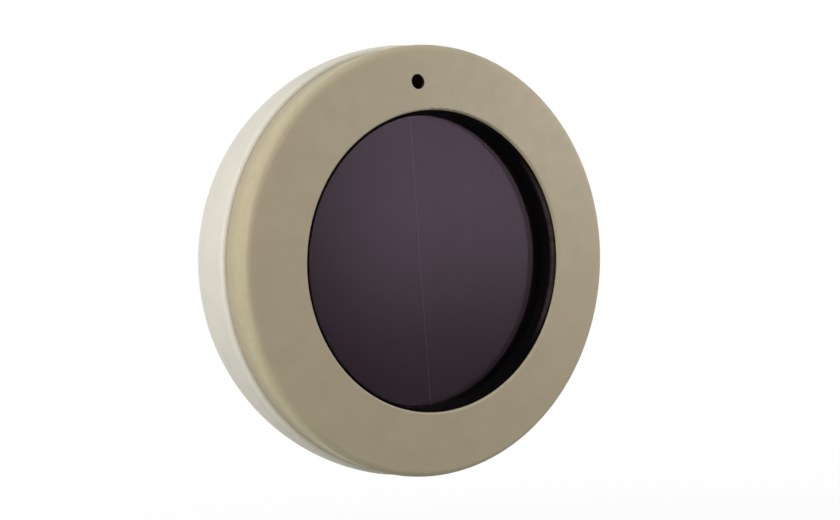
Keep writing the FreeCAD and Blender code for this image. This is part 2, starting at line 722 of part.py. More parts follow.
def microcontroller():
    """Square chip with a row of legs on each side."""
    pieces = [block(CHIP_PLACE, CHIP_SIZE, CHIP_SIZE, BOARD_FRONT - CHIP_HEIGHT, BOARD_FRONT)]
    reach = (CHIP_SIZE + CHIP_LEG_LENGTH) / 2
    for side in (0, 90, 180, 270):
        for leg in range(CHIP_LEGS_A_SIDE):
            along = (leg - (CHIP_LEGS_A_SIDE - 1) / 2) * CHIP_LEG_PITCH
            place = (CHIP_PLACE[0] + along, CHIP_PLACE[1] + reach)
            length = CHIP_LEG_LENGTH + BITE
            foot = block(place, CHIP_LEG_WIDTH, length, BOARD_FRONT - CHIP_LEG_HEIGHT, BOARD_FRONT)
            pieces.append(spun(foot, side, CHIP_PLACE))
    return joined(pieces)


def crystal():
    """Timing crystal in a flat can with rounded corners."""
    width, height, depth = CRYSTAL_SIZE
    can = block(CRYSTAL_PLACE, width, height, BOARD_FRONT - depth, BOARD_FRONT)
    upright = [edge for edge in can.Edges if edge.BoundBox.YLength > depth / 2]
    return can.makeFillet(height / 4, upright)


def chip_parts():
    """Rows of small surface-mounted resistors and capacitors."""
    width, height, depth = SMALL_PART_SIZE
    pieces = []
    for row in SMALL_ROW_HEIGHTS:
        for column in range(SMALL_PARTS_A_ROW):
            across = (column - (SMALL_PARTS_A_ROW - 1) / 2) * SMALL_PART_PITCH
            pieces.append(block((across, row), width, height, BOARD_FRONT - depth, BOARD_FRONT))
    return pieces


def cell_connector():
    """Two-way connector where the cell's leads plug into the board."""
    width, height, depth = CONNECTOR_SIZE
    body = block(CONNECTOR_PLACE, width, height, BOARD_FRONT - depth, BOARD_FRONT)
    entry = CONNECTOR_PLACE[1] - height / 2
    for side in (-1, 1):
        place = (side * LEAD_SPACING / 2, entry)
        body = body.cut(block(place, 3.2 * LEAD_RADIUS, 1.0, LEAD_DEPTH - 1.0, LEAD_DEPTH + 1.0))
    return body


def cell_lead(side):
    """Lead from the connector to the back of the cell, side 1 or -1."""
    entry = CONNECTOR_PLACE[1] - CONNECTOR_SIZE[1] / 2 + 0.5
    start_x = side * LEAD_SPACING / 2
    points = [
        spot(start_x, LEAD_DEPTH, entry),
        spot(start_x, LEAD_DEPTH, LEAD_TURN_HEIGHT),
        spot(side * LEAD_PAD[0], LEAD_DEPTH, LEAD_PAD[1]),
        spot(side * LEAD_PAD[0], cell_depths()[2], LEAD_PAD[1]),
    ]
    path, radii = wire_path(points)
    print("cell lead radii", [round(radius, 2) for radius in radii], "length", round(path.Length, 1))
    return wire_along(path, points[0], FreeCAD.Vector(0, 0, -1), LEAD_RADIUS)


def antenna_wire():
    """Stiff wire bent into most of a circle, both ends turned down to the board."""
    legs = []
    for degrees, turn in ((ANTENNA_START, -1), (ANTENNA_START + ANTENNA_SWEEP, 1)):
        x, z = polar(ANTENNA_CIRCLE, degrees)
        tangent = FreeCAD.Vector(-z, 0, x).normalize() * turn
        end = spot(x, ANTENNA_DEPTH, z)
        backwards = FreeCAD.Vector(0, 1, 0)
        centre = end + backwards * ANTENNA_BEND
        middle = centre + (tangent - backwards).normalize() * ANTENNA_BEND
        corner = centre + tangent * ANTENNA_BEND
        foot = FreeCAD.Vector(corner.x, BOARD_FRONT - TOTAL_DEPTH, corner.z)
        legs.append((foot, corner, middle, end))
    halfway = polar(ANTENNA_CIRCLE, ANTENNA_START + ANTENNA_SWEEP / 2)
    (foot, corner, middle, end), (last_foot, last_corner, last_middle, last_end) = legs
    path = Part.Wire([
        Part.makeLine(foot, corner),
        Part.Arc(corner, middle, end).toShape(),
        Part.Arc(end, spot(halfway[0], ANTENNA_DEPTH, halfway[1]), last_end).toShape(),
        Part.Arc(last_end, last_middle, last_corner).toShape(),
        Part.makeLine(last_corner, last_foot),
    ])
    print("antenna length", round(path.Length, 1))
    return wire_along(path, foot, FreeCAD.Vector(0, -1, 0), ANTENNA_RADIUS)


# Light-level dial

def potentiometer_body():
    """Square potentiometer on the back of the board, with a round well for its rotor."""
    front = BOARD_FRONT + BOARD_THICKNESS
    body = block(DIAL_PLACE, TRIMMER_SIZE, TRIMMER_SIZE, front, front + TRIMMER_HEIGHT)
    well = front + TRIMMER_WELL_FLOOR
    return body.cut(rod(DIAL_PLACE, TRIMMER_WELL_RADIUS, well, front + TRIMMER_HEIGHT + OVERRUN))


def flatted_rod(place, radius, flat, front, back):
    """Round rod with one flat, at a distance from its axis on the +Z side."""
    above = (place[0], place[1] + flat + radius)
    cutter = block(above, 4 * radius, 2 * radius, front - BITE, back + BITE)
    return rod(place, radius, front, back).cut(cutter)


def potentiometer_rotor():
    """Rotor with a flatted socket for the dial's stem."""
    front = BOARD_FRONT + BOARD_THICKNESS + TRIMMER_WELL_FLOOR + ROTOR_PLAY
    socket = flatted_rod(
        DIAL_PLACE, ROTOR_SOCKET_RADIUS, ROTOR_SOCKET_FLAT, ROTOR_SOCKET_START, ROTOR_BACK + OVERRUN
    )
    return rod(DIAL_PLACE, ROTOR_RADIUS, front, ROTOR_BACK).cut(socket)


def threshold_dial():
    """Dial with a screwdriver slot and a pointer, on a long stem that turns the potentiometer."""
    groove_radius, groove_front, groove_back = DIAL_SEAL_GROOVE
    edge = (DIAL_RADIUS - DIAL_ROUND, DIAL_BACK - DIAL_ROUND)
    body = turned([
        (0, DIAL_STEM_START - BITE),
        (DIAL_TIP_FLAT, DIAL_STEM_START - BITE),
        (DIAL_TIP_FLAT, DIAL_STEM_START),
        (DIAL_STEM_RADIUS, DIAL_STEM_START),
        (DIAL_STEM_RADIUS, groove_front),
        (groove_radius, groove_front),
        (groove_radius, groove_back),
        (DIAL_STEM_RADIUS, groove_back),
        (DIAL_STEM_RADIUS, DIAL_FRONT),
        (DIAL_RADIUS, DIAL_FRONT),
        (DIAL_RADIUS, edge[1]),
        (on_arc(edge, DIAL_ROUND, 45), on_arc(edge, DIAL_ROUND, 90)),
        (0, DIAL_BACK),
    ], DIAL_PLACE)
    tip = flatted_rod(DIAL_PLACE, DIAL_TIP_RADIUS, DIAL_TIP_FLAT, DIAL_TIP_START, DIAL_STEM_START + BITE)
    length, width, depth = DIAL_SLOT
    slot = block(DIAL_PLACE, width, length, DIAL_BACK - depth, DIAL_BACK + OVERRUN)
    pointer_place = (DIAL_PLACE[0], DIAL_PLACE[1] + DIAL_RADIUS)
    pointer = block(pointer_place, width, 2 * width, DIAL_BACK - depth / 2, DIAL_BACK + OVERRUN)
    return joined([body, tip]).cut(slot).cut(pointer)


def dial_seal():
    """Small rubber ring in the dial stem's groove."""
    middle = (DIAL_SEAL_GROOVE[1] + DIAL_SEAL_GROOVE[2]) / 2
    centre = spot(DIAL_PLACE[0], middle, DIAL_PLACE[1])
    return Part.makeTorus(DIAL_SEAL_CIRCLE, DIAL_SEAL_RADIUS, centre, AXIS)


# Programming button

def switch_body():
    """Square push switch on the back of the board, open for its plunger."""
    front = BOARD_FRONT + BOARD_THICKNESS
    back = front + SWITCH_HEIGHT
    body = block(BUTTON_PLACE, SWITCH_SIZE, SWITCH_SIZE, front, back)
    return body.cut(rod(BUTTON_PLACE, SWITCH_WELL_RADIUS, front + SWITCH_WELL_FLOOR, back + OVERRUN))


def prog_button():
    """Round button cap with a stem that reaches the switch's plunger."""
    edge = (BUTTON_RADIUS - BUTTON_ROUND, BUTTON_BACK - BUTTON_ROUND)
    return turned([
        (0, PLUNGER_END + SEAL_PLAY),
        (BUTTON_STEM_RADIUS, PLUNGER_END + SEAL_PLAY),
        (BUTTON_STEM_RADIUS, BUTTON_FRONT),
        (BUTTON_RADIUS, BUTTON_FRONT),
        (BUTTON_RADIUS, edge[1]),
        (on_arc(edge, BUTTON_ROUND, 45), on_arc(edge, BUTTON_ROUND, 90)),
        (0, BUTTON_BACK),
    ], BUTTON_PLACE)


# Wall plate

def wall_plate():
    """Flanged hub with three lock lugs, the twist's stops, two upright screw slots and a cored back."""
    rim = (FLANGE_RADIUS - FLANGE_ROUND, TOTAL_DEPTH - FLANGE_ROUND)
    plate = turned([
        (0, PLATE_FLOOR_FRONT),
        (HUB_INNER_RADIUS, PLATE_FLOOR_FRONT),
        (HUB_INNER_RADIUS, PLATE_LUG_FRONT),
        (HUB_RADIUS, PLATE_LUG_FRONT),
        (HUB_RADIUS, FLANGE_FRONT),
        (FLANGE_RADIUS, FLANGE_FRONT),
        (FLANGE_RADIUS, rim[1]),
        (on_arc(rim, FLANGE_ROUND, 45), on_arc(rim, FLANGE_ROUND, 90)),
        (0, TOTAL_DEPTH),
    ])
    inner = HUB_RADIUS - BITE
    added = []
    for degrees in LUG_ANGLES:
        added.append(sector(inner, PLATE_LUG_OUTER, degrees, LUG_SPAN, PLATE_LUG_FRONT, PLATE_LUG_BACK))
        clear = LUG_SPAN / 2 + STOP_GAP + STOP_SPAN / 2
        for middle in (degrees - clear, degrees + TWIST + clear):
            added.append(sector(inner, PLATE_LUG_OUTER, middle, STOP_SPAN, STOP_FRONT, FLANGE_FRONT + BITE))
    plate = joined([plate] + added)
    for side in (-1, 1):
        middle = side * SLOT_HEIGHT
        straight = SLOT_LENGTH / 2 - SLOT_RADIUS
        front = PLATE_FLOOR_FRONT - OVERRUN
        back = TOTAL_DEPTH + OVERRUN
        slot = joined([
            block((0, middle), 2 * SLOT_RADIUS, 2 * straight, front, back),
            rod((0, middle - straight), SLOT_RADIUS, front, back),
            rod((0, middle + straight), SLOT_RADIUS, front, back),
        ])
        plate = plate.cut(slot)
    rim_top = (0, FLANGE_RADIUS)
    notch = block(rim_top, NOTCH_SIZE, NOTCH_SIZE, FLANGE_FRONT - BITE, TOTAL_DEPTH + BITE)
    plate = plate.cut(spun(notch, 45, rim_top))
    core_front = TOTAL_DEPTH - CORE_DEPTH
    core_back = TOTAL_DEPTH + OVERRUN
    pitch = 360 / CORES
    span = pitch - CORE_RIB_SPAN
    for core in range(CORES):
        middle = (core + 0.5) * pitch
        plate = plate.cut(sector(CORE_INNER, CORE_OUTER, middle, span, core_front, core_back))
    return plate


def main():
    os.makedirs("parts", exist_ok=True)
    _, backing, cushion, retainer, _ = cell_depths()
    write("front_cover", front_cover())
    write("cover_seal", cover_seal())
    write("light_pipe", light_pipe())
    write("status_led", status_led())
    write("cell_bezel", cell_bezel())
    write("cell_gasket", cell_gasket())
    write("cell_glass", cell_glass())
    write("solar_cell_left", cell_half(-1))
    write("solar_cell_right", cell_half(1))
    write("cell_backing", rod((0, 0), CELL_RADIUS, backing, cushion))
    write("cell_cushion", ring((0, 0), CUSHION_INNER_RADIUS, CELL_RADIUS, cushion, retainer))
    write("cell_retainer", cell_retainer())
    write("retainer_screws", *retainer_screws())
    write("rear_housing", rear_housing())
    write("housing_screws", *housing_screws())
    write("main_pcb", main_pcb())
    write("pcb_screws", *pcb_screws())
    write("supercapacitor", supercapacitor())
    write("radio_module", radio_module())
    write("microcontroller", microcontroller())
    write("crystal", crystal())
    write("chip_parts", *chip_parts())
    write("cell_connector", cell_connector())
    write("cell_lead_positive", cell_lead(1))
    write("cell_lead_negative", cell_lead(-1))
    write("antenna_wire", antenna_wire())
    write("potentiometer_body", potentiometer_body())
    write("potentiometer_rotor", potentiometer_rotor())
    write("threshold_dial", threshold_dial())
    write("dial_seal", dial_seal())
    write("switch_body", switch_body())
    write("switch_plunger", rod(BUTTON_PLACE, PLUNGER_RADIUS, PLUNGER_START, PLUNGER_END))
    write("prog_button", prog_button())
    write("button_seal", ring(BUTTON_PLACE, BUTTON_SEAL_INNER, BUTTON_SEAL_OUTER, *BUTTON_SEAL_SPAN))
    write("wall_plate", wall_plate())


main()
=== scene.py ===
# Looks of a round outdoor sun sensor: finishes, printed marks, studio and camera.
from collections import namedtuple
import math

import bmesh
import bpy
from bpy.props import FloatProperty, FloatVectorProperty, PointerProperty
from mathutils import Matrix, Vector
from mathutils.bvhtree import BVHTree
from mathutils.geometry import tessellate_polygon


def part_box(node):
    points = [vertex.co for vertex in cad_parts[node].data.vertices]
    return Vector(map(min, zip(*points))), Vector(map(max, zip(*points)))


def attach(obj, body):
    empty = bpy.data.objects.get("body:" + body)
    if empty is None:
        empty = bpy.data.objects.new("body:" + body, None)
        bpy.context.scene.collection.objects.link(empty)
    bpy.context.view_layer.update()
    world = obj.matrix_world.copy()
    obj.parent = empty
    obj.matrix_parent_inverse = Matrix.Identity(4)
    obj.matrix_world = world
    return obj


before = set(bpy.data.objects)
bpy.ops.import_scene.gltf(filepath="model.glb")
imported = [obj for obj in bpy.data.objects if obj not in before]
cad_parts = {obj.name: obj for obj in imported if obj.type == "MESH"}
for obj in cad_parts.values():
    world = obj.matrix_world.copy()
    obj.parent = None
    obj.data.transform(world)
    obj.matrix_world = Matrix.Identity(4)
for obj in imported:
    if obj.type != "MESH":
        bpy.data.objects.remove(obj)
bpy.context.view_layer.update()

bl_info = {
    "name": "Round sun sensor",
    "version": (1, 0, 0),
    "blender": (4, 5, 0),
    "location": "3D View > Sidebar > Sun sensor",
    "description": "Finishes a wall-mounted solar light sensor and sets up its studio",
    "category": "Object",
}

# One millimetre in metres
MM = 0.001


# Places and sizes read from the frame

def middle(node):
    """Middle of a node's box."""
    low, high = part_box(node)
    return (Vector(low) + Vector(high)) / 2


def reach(node):
    """Half of a node's width along X."""
    low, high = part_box(node)
    return (high[0] - low[0]) / 2


def front_of(node):
    """Lowest Y of a node: the side that faces forwards."""
    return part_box(node)[0][1]


def back_of(node):
    """Highest Y of a node: the side that faces the wall."""
    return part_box(node)[1][1]


FACE = Vector((0.0, front_of("front_cover"), 0.0))
COVER_RADIUS = reach("front_cover")
SEAM = Vector((0.0, front_of("rear_housing"), 0.0))
DIAL = middle("threshold_dial")
BUTTON = middle("prog_button")
LIGHT = middle("light_pipe")

# Edges of the cover's opening and of the bezel's bore, measured in from the outer edge of the gasket
OPENING_RADIUS = reach("cell_gasket") - 0.55 * MM
BORE_RADIUS = reach("cell_gasket") - 1.4 * MM

# Just behind the floors of the pockets that hold the dial and the button
POCKET_FLOOR = FACE.y + 37.2 * MM


# Colours of the parts that the panel doesn't list

# Painted shade on the wall of the light's hole
HOLE_SHADE = (0.035, 0.020, 0.010)
# Painted highlight on the bore's edge at the bezel's +X side
BEZEL_HIGHLIGHT = (0.065, 0.046, 0.050)
DUST = (0.46, 0.43, 0.36)
BLACK_FOAM = (0.05, 0.05, 0.05)
DARK_RETAINER = (0.05, 0.05, 0.055)
MILKY_LENS = (0.75, 0.72, 0.66)
BLACK_RUBBER = (0.02, 0.02, 0.022)
SCREW_STEEL = (0.55, 0.55, 0.56)
BLUE_PLASTIC = (0.03, 0.10, 0.38)
WHITE_PLASTIC = (0.75, 0.74, 0.70)
BLACK_PLASTIC = (0.03, 0.03, 0.03)
AMBER_PLASTIC = (0.55, 0.40, 0.10)
BOARD_GREEN = (0.02, 0.16, 0.07)
CAPACITOR_CAN = (0.62, 0.62, 0.64)
TINNED_CAN = (0.62, 0.61, 0.58)
CHIP_EPOXY = (0.02, 0.02, 0.022)
CERAMIC = (0.35, 0.27, 0.18)
NYLON = (0.78, 0.76, 0.68)
LEAD_RED = (0.45, 0.02, 0.02)
LEAD_BLACK = (0.02, 0.02, 0.02)
COPPER = (0.72, 0.38, 0.18)
FLOOR_GREY = (0.28, 0.28, 0.275)
SKY_WHITE = (1.0, 0.99, 0.97)
WHITE = (1.0, 1.0, 1.0)


# Sizes and colours that can be changed

def size(name, description, default):
    return FloatProperty(
        name=name, description=description, default=default, unit="LENGTH", precision=6, min=0.0
    )


def shift(name, description, default):
    return FloatProperty(name=name, description=description, default=default, unit="LENGTH", precision=6)


def amount(name, description, default, most=1.0):
    return FloatProperty(
        name=name, description=description, default=default, min=0.0, max=most, subtype="FACTOR"
    )


def angle(name, description, degrees):
    return FloatProperty(
        name=name, description=description, default=math.radians(degrees), subtype="ANGLE"
    )


def watts(name, description, default):
    return FloatProperty(name=name, description=description, default=default, unit="POWER")


def colour(name, description, default):
    return FloatVectorProperty(
        name=name, description=description, default=default, size=3, min=0.0, max=1.0, subtype="COLOR"
    )


class ShellFinish(bpy.types.PropertyGroup):
    """Colours and surface sizes of the plastic shells."""

    cover: colour("Cover", "Weathered taupe plastic of the front cover", (0.430, 0.366, 0.253))
    # Painted light: a lighter tone laid all round the cover's side, standing in for the light on it; the
    # painted highlight at the seam is made from it too
    lit_side: colour("Yellowed side", "Cover plastic yellowed by the sun", (0.490, 0.445, 0.262))
    housing: colour("Housing", "Ivory plastic of the rear housing", (0.672, 0.647, 0.563))
    plate: colour("Wall plate", "Plastic of the wall plate", (0.600, 0.575, 0.500))
    bezel: colour("Bezel", "Black plastic round the cell", (0.0030, 0.0026, 0.0030))
    dial: colour("Dial", "Dark plastic of the light-level dial", (0.030, 0.030, 0.032))
    button: colour("Button", "Grey plastic of the programming button", (0.300, 0.290, 0.270))
    print_ink: colour("Print", "Ink of the scale and the marks", (0.075, 0.072, 0.068))
    grime: colour("Grime", "Dirt that settles in the pockets", (0.120, 0.105, 0.080))
    grain: size("Grain", "Size of the moulded texture's grain", 0.32 * MM)
    relief: size("Grain height", "Height of the moulded texture", 0.012 * MM)
    mottle: size("Mottle", "Size of the faint patches of tone", 7.0 * MM)
    # Radius of the ring of painted shade on the wall of the light's hole
    light_hole: size("Light hole", "Radius of the dirty wall of the light's hole", 1.75 * MM)
    lightening: amount("Wear", "How far edges are rubbed lighter", 0.22)
    dirt: amount("Dirt", "How much dirt the pockets hold", 0.45)


class WindowFinish(bpy.types.PropertyGroup):
    """Colours of the glass and the cell behind it."""

    film: colour("Film", "Dark violet-brown film of the cell", (0.005, 0.0028, 0.0035))
    film_tint: colour("Film tint", "Second tone that drifts across the film", (0.006, 0.0036, 0.0045))
    backing: colour("Backing", "Plate that shows between the halves of the film", (0.118, 0.094, 0.106))
    glass: colour("Glass", "Tint of the glass in front of the cell", (0.960, 0.955, 0.965))
    coating: colour("Coating", "Tint of what the coated glass mirrors", (1.000, 0.710, 0.950))
    glass_bend: FloatProperty(
        name="Glass index", description="Index of refraction of the coated glass", default=1.5
    )
    light_guide: colour("Light guide", "Smoked plastic of the light pipe", (0.006, 0.002, 0.0005))


class MarkSizes(bpy.types.PropertyGroup):
    """Sizes of the marks printed on the housing's back."""

    raised: size("Raised by", "How far the print stands off the housing", 0.06 * MM)
    scale_radius: size("Scale radius", "Inner radius of the scale round the dial", 6.95 * MM)
    scale_width: size("Scale width", "Width of the scale's thick end", 1.1 * MM)
    scale_sweep: angle("Scale sweep", "How far the scale runs each way from the top", 122.0)
    sun_radius: size("Sun", "Radius of the larger sun's disc", 0.62 * MM)
    lock_circle: size("Lock marks", "Radius of the circle that the padlocks lie on", 29.2 * MM)
    lock_width: size("Padlock width", "Width of a padlock's body", 2.3 * MM)


class StudioSettings(bpy.types.PropertyGroup):
    """Camera, lamps and floor."""

    azimuth: angle("Azimuth", "Camera's angle round the sensor, from its front", -33.9)
    elevation: angle("Elevation", "Camera's angle above the horizon", 4.2)
    roll: angle("Roll", "How far the sensor's top leans to the left in the picture", 4.1)
    distance: size("Distance", "From the camera to the middle of the face", 532.0 * MM)
    across: shift("Across", "Face's place right of the view's middle", 4.01 * MM)
    down: shift("Down", "Face's place below the view's middle", 0.32 * MM)
    focal_length: FloatProperty(name="Lens", description="Focal length", default=98.9, unit="CAMERA")
    floor_drop: size("Floor", "Depth of the floor below the sensor's axis", 130.0 * MM)
    sky: amount("Sky", "Strength of the light from all round", 0.52, most=2.0)
    key_power: watts("Key lamp", "Power of the lamp at the left", 6.0)
    rim_power: watts("Rim lamp", "Power of the lamp above", 1.1)
    fill_power: watts("Fill lamp", "Power of the lamp at the right", 0.37)


# Shader nodes

def set_inputs(tree, node, inputs):
    """Set a node's inputs to values, or link them to sockets."""
    for name, value in inputs.items():
        socket = node.inputs[name]
        if isinstance(value, bpy.types.NodeSocket):
            tree.links.new(value, socket)
        elif socket.type == "RGBA":
            socket.default_value = (*value[:3], 1.0)
        else:
            socket.default_value = value


def add_node(tree, kind, inputs=None, **settings):
    """New node with its settings, and its inputs set to values or linked to sockets."""
    made = tree.nodes.new(kind)
    for name, value in settings.items():
        setattr(made, name, value)
    set_inputs(tree, made, inputs or {})
    return made


def maths(tree, operation, *values):
    """Output of a Math node."""
    return add_node(tree, "ShaderNodeMath", dict(enumerate(values)), operation=operation).outputs[0]


def mixed(tree, factor, first, second):
    """Output of a colour Mix node, whose factor and two colours are its inputs 0, 6 and 7."""
    inputs = {0: factor, 6: first, 7: second}
    return add_node(tree, "ShaderNodeMix", inputs, data_type="RGBA").outputs[2]


def stepped(tree, value, start, end, low=0.0, high=1.0):
    """A value eased from low to high as it runs from start to end."""
    inputs = {"Value": value, "From Min": start, "From Max": end, "To Min": low, "To Max": high}
    return add_node(tree, "ShaderNodeMapRange", inputs, interpolation_type="SMOOTHSTEP").outputs["Result"]


def noise(tree, vector, scale, detail=3.0, roughness=0.55):
    """Noise from 0 to 1 at a scale per metre."""
    inputs = {"Vector": vector, "Scale": scale, "Detail": detail, "Roughness": roughness}
    return add_node(tree, "ShaderNodeTexNoise", inputs).outputs["Fac"]


def axis_parts(tree, vector):
    """X, Y and Z of a vector."""
    return add_node(tree, "ShaderNodeSeparateXYZ", {"Vector": vector}).outputs


def stretched(tree, vector, by):
    """A vector multiplied by another."""
    made = add_node(tree, "ShaderNodeVectorMath", {0: vector, 1: by}, operation="MULTIPLY")
    return made.outputs["Vector"]


def bumped(tree, height, distance):
    """Normal of a surface with a height laid on it."""
    inputs = {"Height": height, "Distance": distance, "Strength": 1.0}
    return add_node(tree, "ShaderNodeBump", inputs).outputs["Normal"]


def new_group(name, inputs, outputs):
    """Shader node group with named sockets; returns its tree, its inputs and its outputs."""
    group = bpy.data.node_groups.new(name, "ShaderNodeTree")
    for label, kind, default in inputs:
        group.interface.new_socket(label, in_out="INPUT", socket_type=kind).default_value = default
    for label in outputs:
        group.interface.new_socket(label, in_out="OUTPUT", socket_type="NodeSocketFloat")
    return group, group.nodes.new("NodeGroupInput").outputs, group.nodes.new("NodeGroupOutput").inputs


def moulded_skin():
    """Fine grain, broad patches of tone and broad patches of polish on a moulded surface."""
    group, given, wanted = new_group("Moulded skin", [
        ("Grain Size", "NodeSocketFloat", 0.3 * MM),
        ("Mottle Size", "NodeSocketFloat", 8.0 * MM),
    ], ["Height", "Mottle", "Polish"])
    place = group.nodes.new("ShaderNodeTexCoord").outputs["Object"]
    grain_scale = maths(group, "DIVIDE", 1.0, given["Grain Size"])
    mottle_scale = maths(group, "DIVIDE", 1.0, given["Mottle Size"])
    pits = add_node(group, "ShaderNodeTexVoronoi", {
        "Vector": place,
        "Scale": grain_scale,
        "Smoothness": 0.6,
    }, feature="SMOOTH_F1").outputs["Distance"]
    fine = noise(group, place, maths(group, "MULTIPLY", grain_scale, 1.7), detail=2.0)
    height = maths(group, "ADD", maths(group, "MULTIPLY", pits, 0.6), maths(group, "MULTIPLY", fine, 0.5))
    group.links.new(height, wanted["Height"])
    broad = noise(group, place, mottle_scale, detail=4.0, roughness=0.6)
    group.links.new(stepped(group, broad, 0.3, 0.7), wanted["Mottle"])
    polish = noise(group, place, maths(group, "MULTIPLY", mottle_scale, 2.6))
    group.links.new(stepped(group, polish, 0.3, 0.7), wanted["Polish"])


def ring_mask():
    """Mask near a circle about an axis along Y: for rubbed edges, dirt in pockets, painted light on edges and
    at the seam, and painted shade on a hole's wall.
    """
    group, given, wanted = new_group("Ring mask", [
        ("Centre", "NodeSocketVector", (0.0, 0.0, 0.0)),
        ("Radius", "NodeSocketFloat", 50.0 * MM),
        ("Width", "NodeSocketFloat", 1.0 * MM),
        ("Breakup", "NodeSocketFloat", 0.5),
        ("Walls Only", "NodeSocketFloat", 0.0),
    ], ["Mask"])
    source = group.nodes.new("ShaderNodeTexCoord").outputs
    place = source["Object"]
    offset = add_node(group, "ShaderNodeVectorMath", {0: place, 1: given["Centre"]}, operation="SUBTRACT")
    axes = axis_parts(group, offset.outputs["Vector"])
    across = maths(group, "ADD", maths(group, "POWER", axes["X"], 2.0), maths(group, "POWER", axes["Z"], 2.0))
    out = maths(group, "SUBTRACT", maths(group, "SQRT", across), given["Radius"])
    squares = maths(group, "ADD", maths(group, "POWER", out, 2.0), maths(group, "POWER", axes["Y"], 2.0))
    near = stepped(group, maths(group, "SQRT", squares), 0.0, given["Width"], low=1.0, high=0.0)
    patches_per_metre = 420.0
    patchy = stepped(group, noise(group, place, patches_per_metre, detail=4.0, roughness=0.65), 0.35, 0.65)
    kept = maths(group, "SUBTRACT", 1.0, maths(group, "MULTIPLY", given["Breakup"], patchy))
    along = axis_parts(group, source["Normal"])["Y"]
    flat = stepped(group, maths(group, "ABSOLUTE", along), 0.5, 0.9)
    on_walls = maths(group, "SUBTRACT", 1.0, maths(group, "MULTIPLY", given["Walls Only"], flat))
    mask = maths(group, "MULTIPLY", maths(group, "MULTIPLY", near, kept), on_walls)
    group.links.new(mask, wanted["Mask"])


def settled_dust():
    """Mask on surfaces that face upwards, in soft patches over a thin even layer."""
    group, given, wanted = new_group("Settled dust", [
        ("Amount", "NodeSocketFloat", 0.2),
        ("Patch Size", "NodeSocketFloat", 6.0 * MM),
    ], ["Mask"])
    even = 0.35
    source = group.nodes.new("ShaderNodeTexCoord").outputs
    facing = stepped(group, axis_parts(group, source["Normal"])["Z"], 0.15, 0.95)
    scale = maths(group, "DIVIDE", 1.0, given["Patch Size"])
    patches = stepped(group, noise(group, source["Object"], scale, detail=5.0, roughness=0.65), 0.3, 0.75)
    layer = maths(group, "ADD", even, maths(group, "MULTIPLY", patches, 1.0 - even))
    lying = maths(group, "MULTIPLY", facing, layer)
    group.links.new(maths(group, "MULTIPLY", lying, given["Amount"]), wanted["Mask"])


def drawn_lines():
    """Fine lines on drawn, turned or brushed metal, stretched along an axis."""
    group, given, wanted = new_group("Drawn lines", [
        ("Stretch", "NodeSocketVector", (4000.0, 4000.0, 300.0)),
    ], ["Height", "Streak"])
    place = group.nodes.new("ShaderNodeTexCoord").outputs["Object"]
    lines = noise(group, stretched(group, place, given["Stretch"]), 1.0, detail=4.0, roughness=0.7)
    group.links.new(lines, wanted["Height"])
    group.links.new(stepped(group, lines, 0.35, 0.65), wanted["Streak"])


def fine_scratches():
    """Sparse hairline scratches in two directions."""
    group, given, wanted = new_group("Fine scratches", [
        ("Spacing", "NodeSocketFloat", 6.0 * MM),
    ], ["Mask"])
    place = group.nodes.new("ShaderNodeTexCoord").outputs["Object"]
    scale = maths(group, "DIVIDE", 1.0, given["Spacing"])
    total = None
    for turn in (0.5, 2.1):
        aimed = add_node(group, "ShaderNodeMapping", {"Vector": place, "Rotation": (0.0, turn, 0.0)})
        bands = add_node(group, "ShaderNodeTexWave", {
            "Vector": aimed.outputs["Vector"],
            "Scale": scale,
            "Distortion": 6.0,
            "Detail": 2.0,
            "Detail Scale": 0.6,
        }, wave_profile="SIN").outputs["Fac"]
        lines = stepped(group, bands, 0.985, 1.0)
        total = lines if total is None else maths(group, "MAXIMUM", total, lines)
    patches = stepped(group, noise(group, place, scale, detail=2.0), 0.45, 0.65)
    group.links.new(maths(group, "MULTIPLY", total, patches), wanted["Mask"])


def placed(tree, name, inputs):
    """A named group placed in a material; returns its outputs."""
    return add_node(tree, "ShaderNodeGroup", inputs, node_tree=bpy.data.node_groups[name]).outputs


# Finishes

# A circle about an axis along Y, and the width, strength and colour of what lies on it: each ring holds
# rubbing, dirt, painted light or painted shade
Ring = namedtuple("Ring", "centre radius width strength tone")

# How much dirt and dust roughen a surface, and how much rubbing smooths it
DIRT_ROUGHNESS = 0.15
DUST_ROUGHNESS = 0.2
RUBBED_ROUGHNESS = -0.1

METAL_LINE_DEPTH = 0.004 * MM


def new_material(name, shader_values):
    """Material with one Principled shader; returns the material, its tree and the shader."""
    material = bpy.data.materials.new(name)
    material.use_nodes = True
    tree = material.node_tree
    shader = tree.nodes["Principled BSDF"]
    set_inputs(tree, shader, shader_values)
    return material, tree, shader


def scaled(tone, factor):
    """A colour made lighter or darker."""
    return tuple(min(1.0, part * factor) for part in tone)


